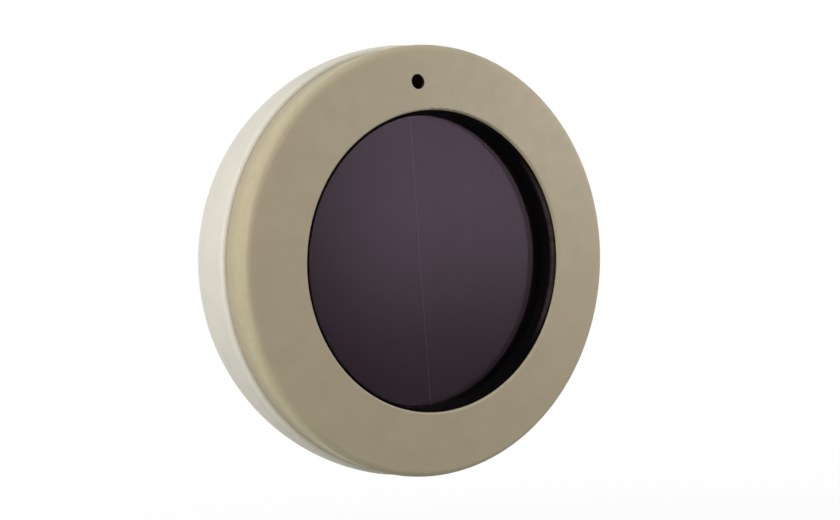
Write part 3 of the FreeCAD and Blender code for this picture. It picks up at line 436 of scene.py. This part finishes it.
def moulded(
    name, tone, roughness, grain=0.3 * MM, relief=0.006 * MM, mottle=3.0 * MM, contrast=0.05,
    lightening=(), dirt=(), hole_shade=(), dust=0.0, **shader_values,
):
    """Moulded plastic, rubber or foam: grain, faint patches, rings of rubbing, dirt, painted light and
    painted shade, and settled dust.

    Its three lists of rings hold, in turn, each rubbed edge and each ring of painted light, each dirty edge,
    and each hole whose wall holds painted shade."""
    material, tree, shader = new_material(name, shader_values)
    skin = placed(tree, "Moulded skin", {"Grain Size": grain, "Mottle Size": mottle})
    base = mixed(tree, skin["Mottle"], scaled(tone, 1 - contrast), scaled(tone, 1 + contrast))
    rough = stepped(tree, skin["Polish"], 0.0, 1.0, roughness - 0.05, roughness + 0.05)
    for rings, change, walls in (
        (dirt, DIRT_ROUGHNESS, 0.0), (lightening, RUBBED_ROUGHNESS, 0.0), (hole_shade, DIRT_ROUGHNESS, 1.0)
    ):
        for ring in rings:
            inputs = {"Centre": ring.centre, "Radius": ring.radius, "Width": ring.width, "Walls Only": walls}
            mask = placed(tree, "Ring mask", inputs)["Mask"]
            share = maths(tree, "MULTIPLY", mask, ring.strength)
            base = mixed(tree, share, base, ring.tone)
            rough = maths(tree, "ADD", rough, maths(tree, "MULTIPLY", share, change))
    if dust:
        mask = placed(tree, "Settled dust", {"Amount": dust})["Mask"]
        base = mixed(tree, mask, base, DUST)
        rough = maths(tree, "ADD", rough, maths(tree, "MULTIPLY", mask, DUST_ROUGHNESS))
    normal = bumped(tree, skin["Height"], relief)
    set_inputs(tree, shader, {"Base Color": base, "Roughness": rough, "Normal": normal})
    return material


def metal(name, tone, roughness, stretch):
    """Drawn or stamped metal with fine lines; stretch holds the lines per metre along each axis."""
    material, tree, shader = new_material(name, {"Metallic": 1.0})
    lines = placed(tree, "Drawn lines", {"Stretch": stretch})
    skin = placed(tree, "Moulded skin", {"Grain Size": 0.2 * MM, "Mottle Size": 2.5 * MM})
    base = mixed(tree, skin["Mottle"], scaled(tone, 0.86), scaled(tone, 1.05))
    rough = stepped(tree, lines["Streak"], 0.0, 1.0, roughness - 0.07, roughness + 0.09)
    normal = bumped(tree, lines["Height"], METAL_LINE_DEPTH)
    set_inputs(tree, shader, {"Base Color": base, "Roughness": rough, "Normal": normal})
    return material


def paint(material, *nodes):
    """Give carried-over nodes a material."""
    for name in nodes:
        for material_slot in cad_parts[name].material_slots:
            material_slot.material = material


# Meshes

def new_object(name, shape, material):
    """Object from a bmesh, with one material."""
    mesh = bpy.data.meshes.new(name)
    shape.to_mesh(mesh)
    shape.free()
    mesh.materials.append(material)
    made = bpy.data.objects.new(name, mesh)
    bpy.context.collection.objects.link(made)
    return made


def arc_points(centre, radius, start, end, steps):
    """Points on an arc; angles run from straight up towards +X, and radius may be a (start, end) pair."""
    first, last = radius if isinstance(radius, tuple) else (radius, radius)
    points = []
    for step in range(steps + 1):
        part = step / steps
        turn = start + (end - start) * part
        here = first + (last - first) * part
        points.append((centre[0] + here * math.sin(turn), centre[1] + here * math.cos(turn)))
    return points


def arc_band(centre, inner, outer, start, end, steps=24):
    """Closed outline of a curved band."""
    return arc_points(centre, outer, start, end, steps) + arc_points(centre, inner, start, end, steps)[::-1]


def disc(centre, radius, steps):
    """Closed outline of a disc."""
    return arc_points(centre, radius, 0.0, math.tau, steps)[:-1]


def turned_to(points, centre, turn):
    """Points drawn about the origin, turned from straight up towards +X and moved to a centre."""
    sine = math.sin(turn)
    cosine = math.cos(turn)
    return [(centre[0] + x * cosine + z * sine, centre[1] + z * cosine - x * sine) for x, z in points]


def flat_drawing(outlines, step):
    """Small flat triangles that fill outlines; each outline is a closed loop followed by its holes."""
    flat = bmesh.new()
    for loops in outlines:
        corners = [flat.verts.new((x, 0.0, z)) for loop in loops for x, z in loop]
        for triangle in tessellate_polygon([[Vector((x, z, 0.0)) for x, z in loop] for loop in loops]):
            flat.faces.new([corners[index] for index in triangle])
    while True:
        long_edges = [edge for edge in flat.edges if edge.calc_length() > step]
        if not long_edges:
            break
        bmesh.ops.subdivide_edges(flat, edges=long_edges, cuts=1)
        bmesh.ops.triangulate(flat, faces=flat.faces[:])
    flat.verts.index_update()
    return flat


def print_on(node, outlines, raised, root=0.03 * MM, step=0.5 * MM):
    """Thin print, drawn by outlines, that follows a node's back; its root lies just inside the node."""
    flat = flat_drawing(outlines, step)
    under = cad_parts[node].data
    surface = BVHTree.FromPolygons([v.co for v in under.vertices], [p.vertices[:] for p in under.polygons])
    start = back_of(node) + MM
    forwards = Vector((0, -1, 0))
    solid = bmesh.new()
    tops = []
    roots = []
    for vert in flat.verts:
        place, normal, _, _ = surface.ray_cast(Vector((vert.co.x, start, vert.co.z)), forwards)
        tops.append(solid.verts.new(place + normal * raised))
        roots.append(solid.verts.new(place - normal * root))
    for face in flat.faces:
        order = [vert.index for vert in face.verts]
        solid.faces.new([tops[index] for index in order])
        solid.faces.new([roots[index] for index in reversed(order)])
    for edge in flat.edges:
        if edge.is_boundary:
            first, last = (vert.index for vert in edge.verts)
            solid.faces.new([tops[first], tops[last], roots[last], roots[first]])
    flat.free()
    bmesh.ops.recalc_face_normals(solid, faces=solid.faces[:])
    return solid


# Marks on the housing's back

def sun_outlines(centre, radius):
    """Disc with short rays that narrow outwards."""
    rays = 8
    start = 1.4 * radius
    end = 2.1 * radius
    broad = 0.16 * radius
    narrow = 0.12 * radius
    ray = [(-broad, start), (broad, start), (narrow, end), (-narrow, end)]
    outlines = [[disc(centre, radius, 28)]]
    for index in range(rays):
        outlines.append([turned_to(ray, centre, index * math.tau / rays)])
    return outlines


def padlock_outlines(centre, turn, width, closed):
    """Padlock that stands upright at a turn from straight up; an open one has its shackle's left leg free."""
    half = width / 2
    low = -0.75 * half
    high = 0.75 * half
    outer = 0.68 * half
    inner = 0.40 * half
    spring = high + (0.35 if closed else 0.75) * half
    right_side = [(half, low), (half, high), (outer, high)]
    outer_arc = arc_points((0.0, spring), outer, math.pi / 2, -math.pi / 2, 16)
    inner_arc = arc_points((0.0, spring), inner, -math.pi / 2, math.pi / 2, 12)
    if closed:
        hole_foot = high + 0.02 * half
        body = [(-half, low)] + right_side + outer_arc + [(-outer, high), (-half, high)]
        hole = [(-inner, hole_foot)] + inner_arc + [(inner, hole_foot)]
        loops = [body, hole]
    else:
        free_end = high + 0.45 * half
        shackle = outer_arc + [(-outer, free_end), (-inner, free_end)] + inner_arc
        loops = [[(-half, low)] + right_side + shackle + [(inner, high), (-half, high)]]
    return [turned_to(loop, centre, turn) for loop in loops]


def on_circle(centre, radius, turn):
    """Place on a circle, at a turn from straight up towards +X."""
    return centre[0] + radius * math.sin(turn), centre[1] + radius * math.cos(turn)


# Operators

class SUNSENSOR_OT_front_cover(bpy.types.Operator):
    """Finish the taupe front cover: rubbed edges, a lighter tone of painted light all round its side, a
    painted highlight at the seam and painted shade on the wall of its hole
    """

    bl_idname = "sunsensor.front_cover"
    bl_label = "Front cover"

    def execute(self, context):
        shell = context.scene.sunsensor_shell
        rubbed = scaled(shell.cover, 1.08)
        pale = scaled(shell.lit_side, 1.35)
        inset = 0.8 * MM
        on_side = FACE + Vector((0, 5.0 * MM, 0))
        on_edge = FACE + Vector((0, inset, 0))
        in_mouth = FACE + Vector((0, 0.15 * MM, 0))
        in_hole = Vector((LIGHT.x, FACE.y + MM, LIGHT.z))
        lightening = [
            # Painted light: the cover's side made lighter all round, standing in for the light that falls on
            # it
            Ring(on_side, COVER_RADIUS, 5.0 * MM, 0.9, shell.lit_side),
            # Painted highlight: a pale line at the seam that lightens the shade of the gap between cover and
            # housing
            Ring(SEAM, COVER_RADIUS - 0.3 * MM, 0.6 * MM, 1.0, pale),
            Ring(on_edge, COVER_RADIUS - inset, 1.3 * MM, shell.lightening, rubbed),
            Ring(in_mouth, OPENING_RADIUS, 0.5 * MM, shell.lightening, rubbed),
        ]
        # Painted shade: the wall of the light's hole is darkened
        hole_shade = [Ring(in_hole, shell.light_hole, MM, 3.0, HOLE_SHADE)]
        paint(moulded(
            "Taupe cover plastic", shell.cover, 0.56, shell.grain, shell.relief, shell.mottle, 0.03,
            lightening=lightening, hole_shade=hole_shade, dust=0.12, **{"Specular IOR Level": 0.35},
        ), "front_cover")
        return {"FINISHED"}


class SUNSENSOR_OT_cell_window(bpy.types.Operator):
    """Finish the bezel, the coated glass, the two halves of the film and what holds them"""

    bl_idname = "sunsensor.cell_window"
    bl_label = "Cell window"

    def execute(self, context):
        shell = context.scene.sunsensor_shell
        window = context.scene.sunsensor_window
        # A circle set aside meets the bore's edge on its +X side alone, where a painted highlight lightens
        # that edge
        aside = Vector((4.0 * MM, 0.95 * MM, 0))
        edge = Ring(FACE + aside, BORE_RADIUS - aside.x, 1.1 * MM, 1.0, BEZEL_HIGHLIGHT)
        paint(moulded(
            "Black bezel plastic", shell.bezel, 0.55, grain=0.25 * MM, mottle=5.0 * MM, contrast=0.1,
            lightening=[edge], **{"Specular IOR Level": 0.01},
        ), "cell_bezel")
        paint(self.film(window), "solar_cell_left", "solar_cell_right")
        paint(self.glass(window), "cell_glass")
        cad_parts["cell_glass"].visible_shadow = False
        paint(self.backing(window), "cell_backing")
        paint(moulded(
            "Black foam", BLACK_FOAM, 0.9, grain=0.5 * MM, relief=0.15 * MM, mottle=2.0 * MM, contrast=0.25,
        ), "cell_cushion")
        paint(moulded(
            "Dark retainer plastic", DARK_RETAINER, 0.5, relief=0.01 * MM, mottle=4.0 * MM, contrast=0.08,
        ), "cell_retainer")
        return {"FINISHED"}

    def film(self, window):
        """Dark semiconductor film: tone that drifts slowly, faint upright deposition bands and pinholes."""
        material, tree, shader = new_material("Dark cell film", {"Specular IOR Level": 0.02})
        place = tree.nodes.new("ShaderNodeTexCoord").outputs["Object"]
        drift = stepped(tree, noise(tree, place, 28.0, detail=2.0), 0.3, 0.7)
        upright = stretched(tree, place, (900.0, 0.0, 18.0))
        bands = stepped(tree, noise(tree, upright, 1.0, detail=2.0), 0.3, 0.7)
        tone = mixed(tree, drift, window.film, window.film_tint)
        tone = mixed(tree, maths(tree, "MULTIPLY", bands, 0.25), tone, scaled(window.film, 0.8))
        cells = add_node(tree, "ShaderNodeTexVoronoi", {"Vector": place, "Scale": 260.0})
        pinholes = stepped(tree, cells.outputs["Distance"], 0.02, 0.04, low=1.0, high=0.0)
        tone = mixed(tree, maths(tree, "MULTIPLY", pinholes, 0.25), tone, scaled(window.film, 3.0))
        rough = stepped(tree, bands, 0.0, 1.0, low=0.30, high=0.38)
        set_inputs(tree, shader, {"Base Color": tone, "Roughness": rough})
        return material

    def glass(self, window):
        """Coated glass with faint smudges and hairline scratches."""
        material, tree, shader = new_material("Coated cell glass", {
            "Base Color": window.glass,
            "IOR": window.glass_bend,
            "Transmission Weight": 1.0,
            "Specular Tint": window.coating,
        })
        skin = placed(tree, "Moulded skin", {"Grain Size": 1.5 * MM, "Mottle Size": 14.0 * MM})
        scratches = placed(tree, "Fine scratches", {"Spacing": 5.0 * MM})["Mask"]
        smudge = stepped(tree, skin["Mottle"], 0.5, 1.0, low=0.0, high=0.02)
        rough = maths(tree, "ADD", smudge, maths(tree, "MULTIPLY", scratches, 0.12))
        set_inputs(tree, shader, {"Roughness": rough})
        return material

    def backing(self, window):
        """Grey plate behind the film, with a faint rolled grain."""
        shine = {"Roughness": 0.2, "Specular IOR Level": 0.6}
        material, tree, shader = new_material("Cell backing plate", shine)
        lines = placed(tree, "Drawn lines", {"Stretch": (3000.0, 3000.0, 200.0)})
        tone = mixed(tree, lines["Streak"], scaled(window.backing, 0.85), window.backing)
        set_inputs(tree, shader, {"Base Color": tone})
        return material


class SUNSENSOR_OT_status_light(bpy.types.Operator):
    """Finish the smoked light pipe and the diode behind it"""

    bl_idname = "sunsensor.status_light"
    bl_label = "Status light"

    def execute(self, context):
        window = context.scene.sunsensor_window
        paint(moulded(
            "Smoked light guide", window.light_guide, 0.45, grain=0.4 * MM, relief=0.004 * MM,
            mottle=2.0 * MM, contrast=0.1, **{"Specular IOR Level": 0.0},
        ), "light_pipe")
        paint(moulded(
            "Milky diode lens", MILKY_LENS, 0.2, grain=0.6 * MM, relief=0.002 * MM, mottle=1.5 * MM,
            contrast=0.04, **{"Subsurface Weight": 0.3, "Subsurface Scale": MM},
        ), "status_led")
        return {"FINISHED"}


class SUNSENSOR_OT_rear_housing(bpy.types.Operator):
    """Finish the ivory housing, all the screws and the rubber seals"""

    bl_idname = "sunsensor.rear_housing"
    bl_label = "Rear housing"

    def execute(self, context):
        shell = context.scene.sunsensor_shell
        at_rim = SEAM + Vector((0, 0.3 * MM, 0))
        # Painted light: the housing's edge by the seam made lighter, which lightens the shade there
        rim_light = Ring(at_rim, reach("rear_housing"), 1.5 * MM, 1.0, scaled(shell.housing, 1.1))
        pockets = []
        for control, node in ((DIAL, "threshold_dial"), (BUTTON, "prog_button")):
            place = Vector((control.x, POCKET_FLOOR, control.z))
            pockets.append(Ring(place, reach(node) + MM, 2.2 * MM, shell.dirt, shell.grime))
        paint(moulded(
            "Ivory housing plastic", shell.housing, 0.45, shell.grain, 0.6 * shell.relief,
            1.6 * shell.mottle, 0.025, lightening=[rim_light], dirt=pockets, dust=0.1, **{"Specular IOR Level": 0.1},
        ), "rear_housing")
        paint(moulded(
            "Black seal rubber", BLACK_RUBBER, 0.7, grain=0.25 * MM, relief=0.01 * MM, contrast=0.15,
        ), "cover_seal", "cell_gasket", "dial_seal", "button_seal")
        steel = metal("Screw steel", SCREW_STEEL, 0.32, (2500.0, 2500.0, 2500.0))
        paint(steel, "housing_screws", "retainer_screws", "pcb_screws")
        return {"FINISHED"}


class SUNSENSOR_OT_controls(bpy.types.Operator):
    """Finish the dial, the button, and the potentiometer and switch that they work"""

    bl_idname = "sunsensor.controls"
    bl_label = "Dial and button"

    def execute(self, context):
        shell = context.scene.sunsensor_shell
        edge = Vector((DIAL.x, back_of("threshold_dial"), DIAL.z))
        rubbed = Ring(edge, reach("threshold_dial") - 0.1 * MM, 0.5 * MM, 0.5, scaled(shell.dial, 3.0))
        paint(moulded(
            "Dark dial plastic", shell.dial, 0.4, relief=0.008 * MM, contrast=0.12, lightening=[rubbed],
        ), "threshold_dial")
        edge = Vector((BUTTON.x, back_of("prog_button"), BUTTON.z))
        rubbed = Ring(edge, reach("prog_button") - 0.3 * MM, 0.6 * MM, 0.35, scaled(shell.button, 1.5))
        paint(moulded(
            "Grey button plastic", shell.button, 0.5, relief=0.01 * MM, lightening=[rubbed],
        ), "prog_button")
        paint(moulded("Blue potentiometer plastic", BLUE_PLASTIC, 0.35), "potentiometer_body")
        paint(moulded("White rotor plastic", WHITE_PLASTIC, 0.45), "potentiometer_rotor")
        paint(moulded(
            "Black switch plastic", BLACK_PLASTIC, 0.45, relief=0.008 * MM, contrast=0.1,
        ), "switch_body")
        paint(moulded("Amber plunger plastic", AMBER_PLASTIC, 0.45, mottle=2.0 * MM), "switch_plunger")
        return {"FINISHED"}


class SUNSENSOR_OT_circuit_board(bpy.types.Operator):
    """Finish the circuit board, the parts soldered to it, the cell's leads and the aerial wire"""

    bl_idname = "sunsensor.circuit_board"
    bl_label = "Circuit board"

    def execute(self, context):
        paint(moulded(
            "Green board lacquer", BOARD_GREEN, 0.32, grain=0.35 * MM, relief=0.01 * MM, mottle=2.2 * MM,
            contrast=0.18,
        ), "main_pcb")
        paint(metal("Capacitor can", CAPACITOR_CAN, 0.3, (900.0, 3500.0, 900.0)), "supercapacitor")
        paint(metal("Tinned can", TINNED_CAN, 0.34, (3500.0, 3500.0, 350.0)), "radio_module", "crystal")
        paint(moulded(
            "Chip epoxy", CHIP_EPOXY, 0.5, grain=0.15 * MM, mottle=2.0 * MM, contrast=0.1,
        ), "microcontroller")
        paint(moulded(
            "Ceramic parts", CERAMIC, 0.35, grain=0.2 * MM, relief=0.004 * MM, mottle=3.6 * MM, contrast=0.25,
        ), "chip_parts")
        paint(moulded("Connector nylon", NYLON, 0.42), "cell_connector")
        for name, tone, lead in (
            ("Red lead", LEAD_RED, "cell_lead_positive"), ("Black lead", LEAD_BLACK, "cell_lead_negative")
        ):
            paint(moulded(name, tone, 0.45, relief=0.008 * MM, contrast=0.1), lead)
        paint(metal("Copper aerial wire", COPPER, 0.3, (1200.0, 1200.0, 1200.0)), "antenna_wire")
        return {"FINISHED"}


class SUNSENSOR_OT_wall_plate(bpy.types.Operator):
    """Finish the wall plate"""

    bl_idname = "sunsensor.wall_plate"
    bl_label = "Wall plate"

    def execute(self, context):
        shell = context.scene.sunsensor_shell
        back = Vector((0.0, back_of("wall_plate"), 0.0))
        rubbed = Ring(back, reach("wall_plate"), 0.7 * MM, shell.lightening, scaled(shell.plate, 1.2))
        paint(moulded(
            "Wall plate plastic", shell.plate, 0.55, 0.9 * shell.grain, shell.relief, shell.mottle, 0.04,
            lightening=[rubbed],
        ), "wall_plate")
        return {"FINISHED"}


class SUNSENSOR_OT_printed_marks(bpy.types.Operator):
    """Print the dial's scale, the button's radio mark and the lock marks on the housing's back"""

    bl_idname = "sunsensor.printed_marks"
    bl_label = "Printed marks"

    def execute(self, context):
        shell = context.scene.sunsensor_shell
        marks = context.scene.sunsensor_marks
        ink = moulded(
            "Warm grey print", shell.print_ink, 0.6, grain=0.2 * MM, relief=0.004 * MM, mottle=2.0 * MM,
            contrast=0.1,
        )
        drawings = {
            "dial_scale": self.dial_scale(marks),
            "radio_mark": self.radio_mark(),
            "lock_marks": self.lock_marks(marks),
        }
        for name, outlines in drawings.items():
            made = new_object(name, print_on("rear_housing", outlines, marks.raised), ink)
            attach(made, "sensor")
        return {"FINISHED"}

    def dial_scale(self, marks):
        """Band that narrows from a large sun to a small one."""
        centre = (DIAL.x, DIAL.z)
        sweep = marks.scale_sweep
        thin = marks.scale_radius + 0.2 * marks.scale_width
        thick = marks.scale_radius + marks.scale_width
        outlines = [[arc_band(centre, marks.scale_radius, (thick, thin), -sweep, sweep, 72)]]
        suns_circle = marks.scale_radius + 0.5 * marks.scale_width
        gap = math.radians(20)
        for side, radius in ((-1, marks.sun_radius), (1, 0.55 * marks.sun_radius)):
            place = on_circle(centre, suns_circle, side * (sweep + gap))
            outlines += sun_outlines(place, radius)
        return outlines

    def radio_mark(self):
        """Dot with three widening arcs above the button."""
        centre = (BUTTON.x, BUTTON.z + 6.6 * MM)
        spread = math.radians(42)
        stroke = 0.32 * MM
        outlines = [[disc(centre, 0.35 * MM, 20)]]
        for radius in (0.95 * MM, 1.65 * MM, 2.35 * MM):
            outlines.append([arc_band(centre, radius, radius + stroke, -spread, spread)])
        return outlines

    def lock_marks(self, marks):
        """Closed and open padlocks with pointers to the wall plate's notch, and an arrow between them."""
        axis = (0.0, 0.0)
        opened = math.radians(30)
        tip = reach("wall_plate") + 0.5 * MM
        pointer = [(-0.6 * MM, 1.1 * MM), (0.6 * MM, 1.1 * MM), (0.0, 0.0)]
        outlines = []
        for turn, closed in ((0.0, True), (opened, False)):
            place = on_circle(axis, marks.lock_circle, turn)
            outlines.append(padlock_outlines(place, turn, marks.lock_width, closed))
            outlines.append([turned_to(pointer, on_circle(axis, tip, turn), turn)])
        half_stroke = 0.15 * MM
        inner = marks.lock_circle - half_stroke
        outer = marks.lock_circle + half_stroke
        outlines.append([arc_band(axis, inner, outer, math.radians(5), opened - math.radians(7))])
        head = [(-0.7 * MM, -0.7 * MM), (0.6 * MM, 0.0), (-0.7 * MM, 0.7 * MM)]
        turn = opened - math.radians(6)
        outlines.append([turned_to(head, on_circle(axis, marks.lock_circle, turn), turn)])
        return outlines


class SUNSENSOR_OT_studio(bpy.types.Operator):
    """Set up the floor, the light and the camera"""

    bl_idname = "sunsensor.studio"
    bl_label = "Studio"

    def execute(self, context):
        studio = context.scene.sunsensor_studio
        context.scene.view_settings.view_transform = "Standard"
        self.world(context.scene, studio)
        self.floor(studio)
        self.mirror_card()
        self.lamp("key_left", place=(-0.95, -0.26, 0.20), width=0.6, power=studio.key_power)
        self.lamp("rim_top", place=(-0.60, 0.05, 0.85), width=0.5, power=studio.rim_power)
        self.lamp("fill_right", place=(0.25, -0.19, 0.08), width=0.1, power=studio.fill_power)
        self.camera(context.scene, studio)
        return {"FINISHED"}

    def looked_at(self, tree):
        """One where a camera, glossy or transmission ray looks, and nought for the rest."""
        path = tree.nodes.new("ShaderNodeLightPath").outputs
        seen = maths(tree, "MAXIMUM", path["Is Camera Ray"], path["Is Glossy Ray"])
        return maths(tree, "MAXIMUM", seen, path["Is Transmission Ray"])

    def world(self, scene, studio):
        """White where a camera, glossy or transmission ray looks, and soft light for the rest."""
        scene.world = bpy.data.worlds.new("Studio world")
        scene.world.use_nodes = True
        tree = scene.world.node_tree
        tree.nodes.clear()
        seen = self.looked_at(tree)
        up = tree.nodes.new("ShaderNodeTexCoord").outputs["Generated"]
        height = axis_parts(tree, up)["Z"]
        level = stepped(tree, height, -0.6, 0.8, low=0.35 * studio.sky, high=1.15 * studio.sky)
        soft = add_node(tree, "ShaderNodeBackground", {"Color": SKY_WHITE, "Strength": level})
        white = add_node(tree, "ShaderNodeBackground", {"Color": WHITE, "Strength": 1.0})
        mix = add_node(tree, "ShaderNodeMixShader", {0: seen, 1: soft.outputs[0], 2: white.outputs[0]})
        add_node(tree, "ShaderNodeOutputWorld", {"Surface": mix.outputs[0]})

    def floor(self, studio):
        """Round pale floor: mostly white light, and enough lit surface near the sensor to keep its shadow."""
        material, tree, shader = new_material("Studio floor", {"Base Color": FLOOR_GREY, "Roughness": 0.9})
        seen = self.looked_at(tree)
        place = tree.nodes.new("ShaderNodeTexCoord").outputs["Object"]
        away = add_node(tree, "ShaderNodeVectorMath", {0: place}, operation="LENGTH").outputs["Value"]
        share = maths(tree, "MULTIPLY", seen, stepped(tree, away, 0.05, 0.5, low=0.85, high=1.0))
        glow = add_node(tree, "ShaderNodeEmission", {"Color": WHITE, "Strength": 1.0})
        mix = add_node(tree, "ShaderNodeMixShader", {0: share, 1: shader.outputs[0], 2: glow.outputs[0]})
        set_inputs(tree, tree.nodes["Material Output"], {"Surface": mix.outputs[0]})
        shape = bmesh.new()
        bmesh.ops.create_circle(shape, cap_ends=True, segments=96, radius=3.0)
        floor = new_object("studio_floor", shape, material)
        floor.location.z = -studio.floor_drop

    def mirror_card(self):
        """Card, seen only in reflections, that the glass mirrors: darker at its foot and towards one side."""
        material, tree, _ = new_material("Mirror card", {})
        local = tree.nodes.new("ShaderNodeTexCoord").outputs["Object"]
        axes = axis_parts(tree, local)
        upwards = stepped(tree, axes["Y"], -0.066, 0.028, low=0.27, high=0.86)
        sideways = stepped(tree, axes["X"], 0.0, 0.08, low=1.0, high=0.35)
        level = maths(tree, "MULTIPLY", upwards, sideways)
        glow = add_node(tree, "ShaderNodeEmission", {"Color": WHITE, "Strength": level})
        set_inputs(tree, tree.nodes["Material Output"], {"Surface": glow.outputs[0]})
        shape = bmesh.new()
        bmesh.ops.create_grid(shape, x_segments=1, y_segments=1, size=0.5)
        card = new_object("mirror_card", shape, material)
        # It stands where the camera's view goes once the glass has mirrored it
        azimuth = math.radians(34)
        elevation = math.radians(-4)
        distance = 0.5
        aim = Vector((math.sin(azimuth), -math.cos(azimuth), math.sin(elevation)))
        place = FACE + aim * distance
        card.matrix_world = Matrix.Translation(place) @ (-aim).to_track_quat("Z", "Y").to_matrix().to_4x4()
        for ray in ("camera", "diffuse", "shadow", "volume_scatter"):
            setattr(card, f"visible_{ray}", False)

    def lamp(self, name, place, width, power):
        """Soft square lamp aimed at the face; its light reaches the cell as if there were no glass."""
        light = bpy.data.lights.new(name, "AREA")
        light.shape = "SQUARE"
        light.size = width
        light.energy = power
        lamp = bpy.data.objects.new(name, light)
        lamp.visible_camera = False
        lamp.visible_transmission = False
        bpy.context.collection.objects.link(lamp)
        aim = FACE - Vector(place)
        lamp.matrix_world = Matrix.Translation(place) @ aim.to_track_quat("-Z", "Y").to_matrix().to_4x4()

    def camera(self, scene, studio):
        """Camera at the photograph's angle. axes holds its right, forward and up directions as columns."""
        data = bpy.data.cameras.new("Camera")
        data.lens = studio.focal_length
        data.clip_start = 0.01
        camera = bpy.data.objects.new("Camera", data)
        bpy.context.collection.objects.link(camera)
        turn = Matrix.Rotation(-studio.roll, 3, "Y") @ Matrix.Rotation(studio.elevation, 3, "X")
        axes = (turn @ Matrix.Rotation(-studio.azimuth, 3, "Z")).transposed()
        place = FACE + axes @ Vector((-studio.across, -studio.distance, studio.down))
        upright = axes @ Matrix.Rotation(math.radians(90), 3, "X")
        camera.matrix_world = Matrix.Translation(place) @ upright.to_4x4()
        scene.camera = camera


class SUNSENSOR_PT_sidebar(bpy.types.Panel):
    """Lists the sensor's operators and settings"""

    bl_idname = "SUNSENSOR_PT_sidebar"
    bl_label = "Sun sensor"
    bl_space_type = "VIEW_3D"
    bl_region_type = "UI"
    bl_category = "Sun sensor"

    def draw(self, context):
        for operator in OPERATORS:
            self.layout.operator(operator.bl_idname)
        for owner in SETTINGS:
            box = self.layout.box()
            values = getattr(context.scene, owner)
            for name in SETTINGS[owner].__annotations__:
                box.prop(values, name)


SETTINGS = {
    "sunsensor_shell": ShellFinish,
    "sunsensor_window": WindowFinish,
    "sunsensor_marks": MarkSizes,
    "sunsensor_studio": StudioSettings,
}
OPERATORS = (
    SUNSENSOR_OT_front_cover,
    SUNSENSOR_OT_cell_window,
    SUNSENSOR_OT_status_light,
    SUNSENSOR_OT_rear_housing,
    SUNSENSOR_OT_controls,
    SUNSENSOR_OT_circuit_board,
    SUNSENSOR_OT_wall_plate,
    SUNSENSOR_OT_printed_marks,
    SUNSENSOR_OT_studio,
)
CLASSES = (*SETTINGS.values(), *OPERATORS, SUNSENSOR_PT_sidebar)


def register():
    for item in CLASSES:
        bpy.utils.register_class(item)
    for owner, group in SETTINGS.items():
        setattr(bpy.types.Scene, owner, PointerProperty(type=group))


def unregister():
    for owner in SETTINGS:
        delattr(bpy.types.Scene, owner)
    for item in reversed(CLASSES):
        bpy.utils.unregister_class(item)


def main():
    register()
    for build_group in (moulded_skin, ring_mask, settled_dust, drawn_lines, fine_scratches):
        build_group()
    for operator in OPERATORS:
        family, name = operator.bl_idname.split(".")
        getattr(getattr(bpy.ops, family), name)()


if __name__ == "__main__":
    main()
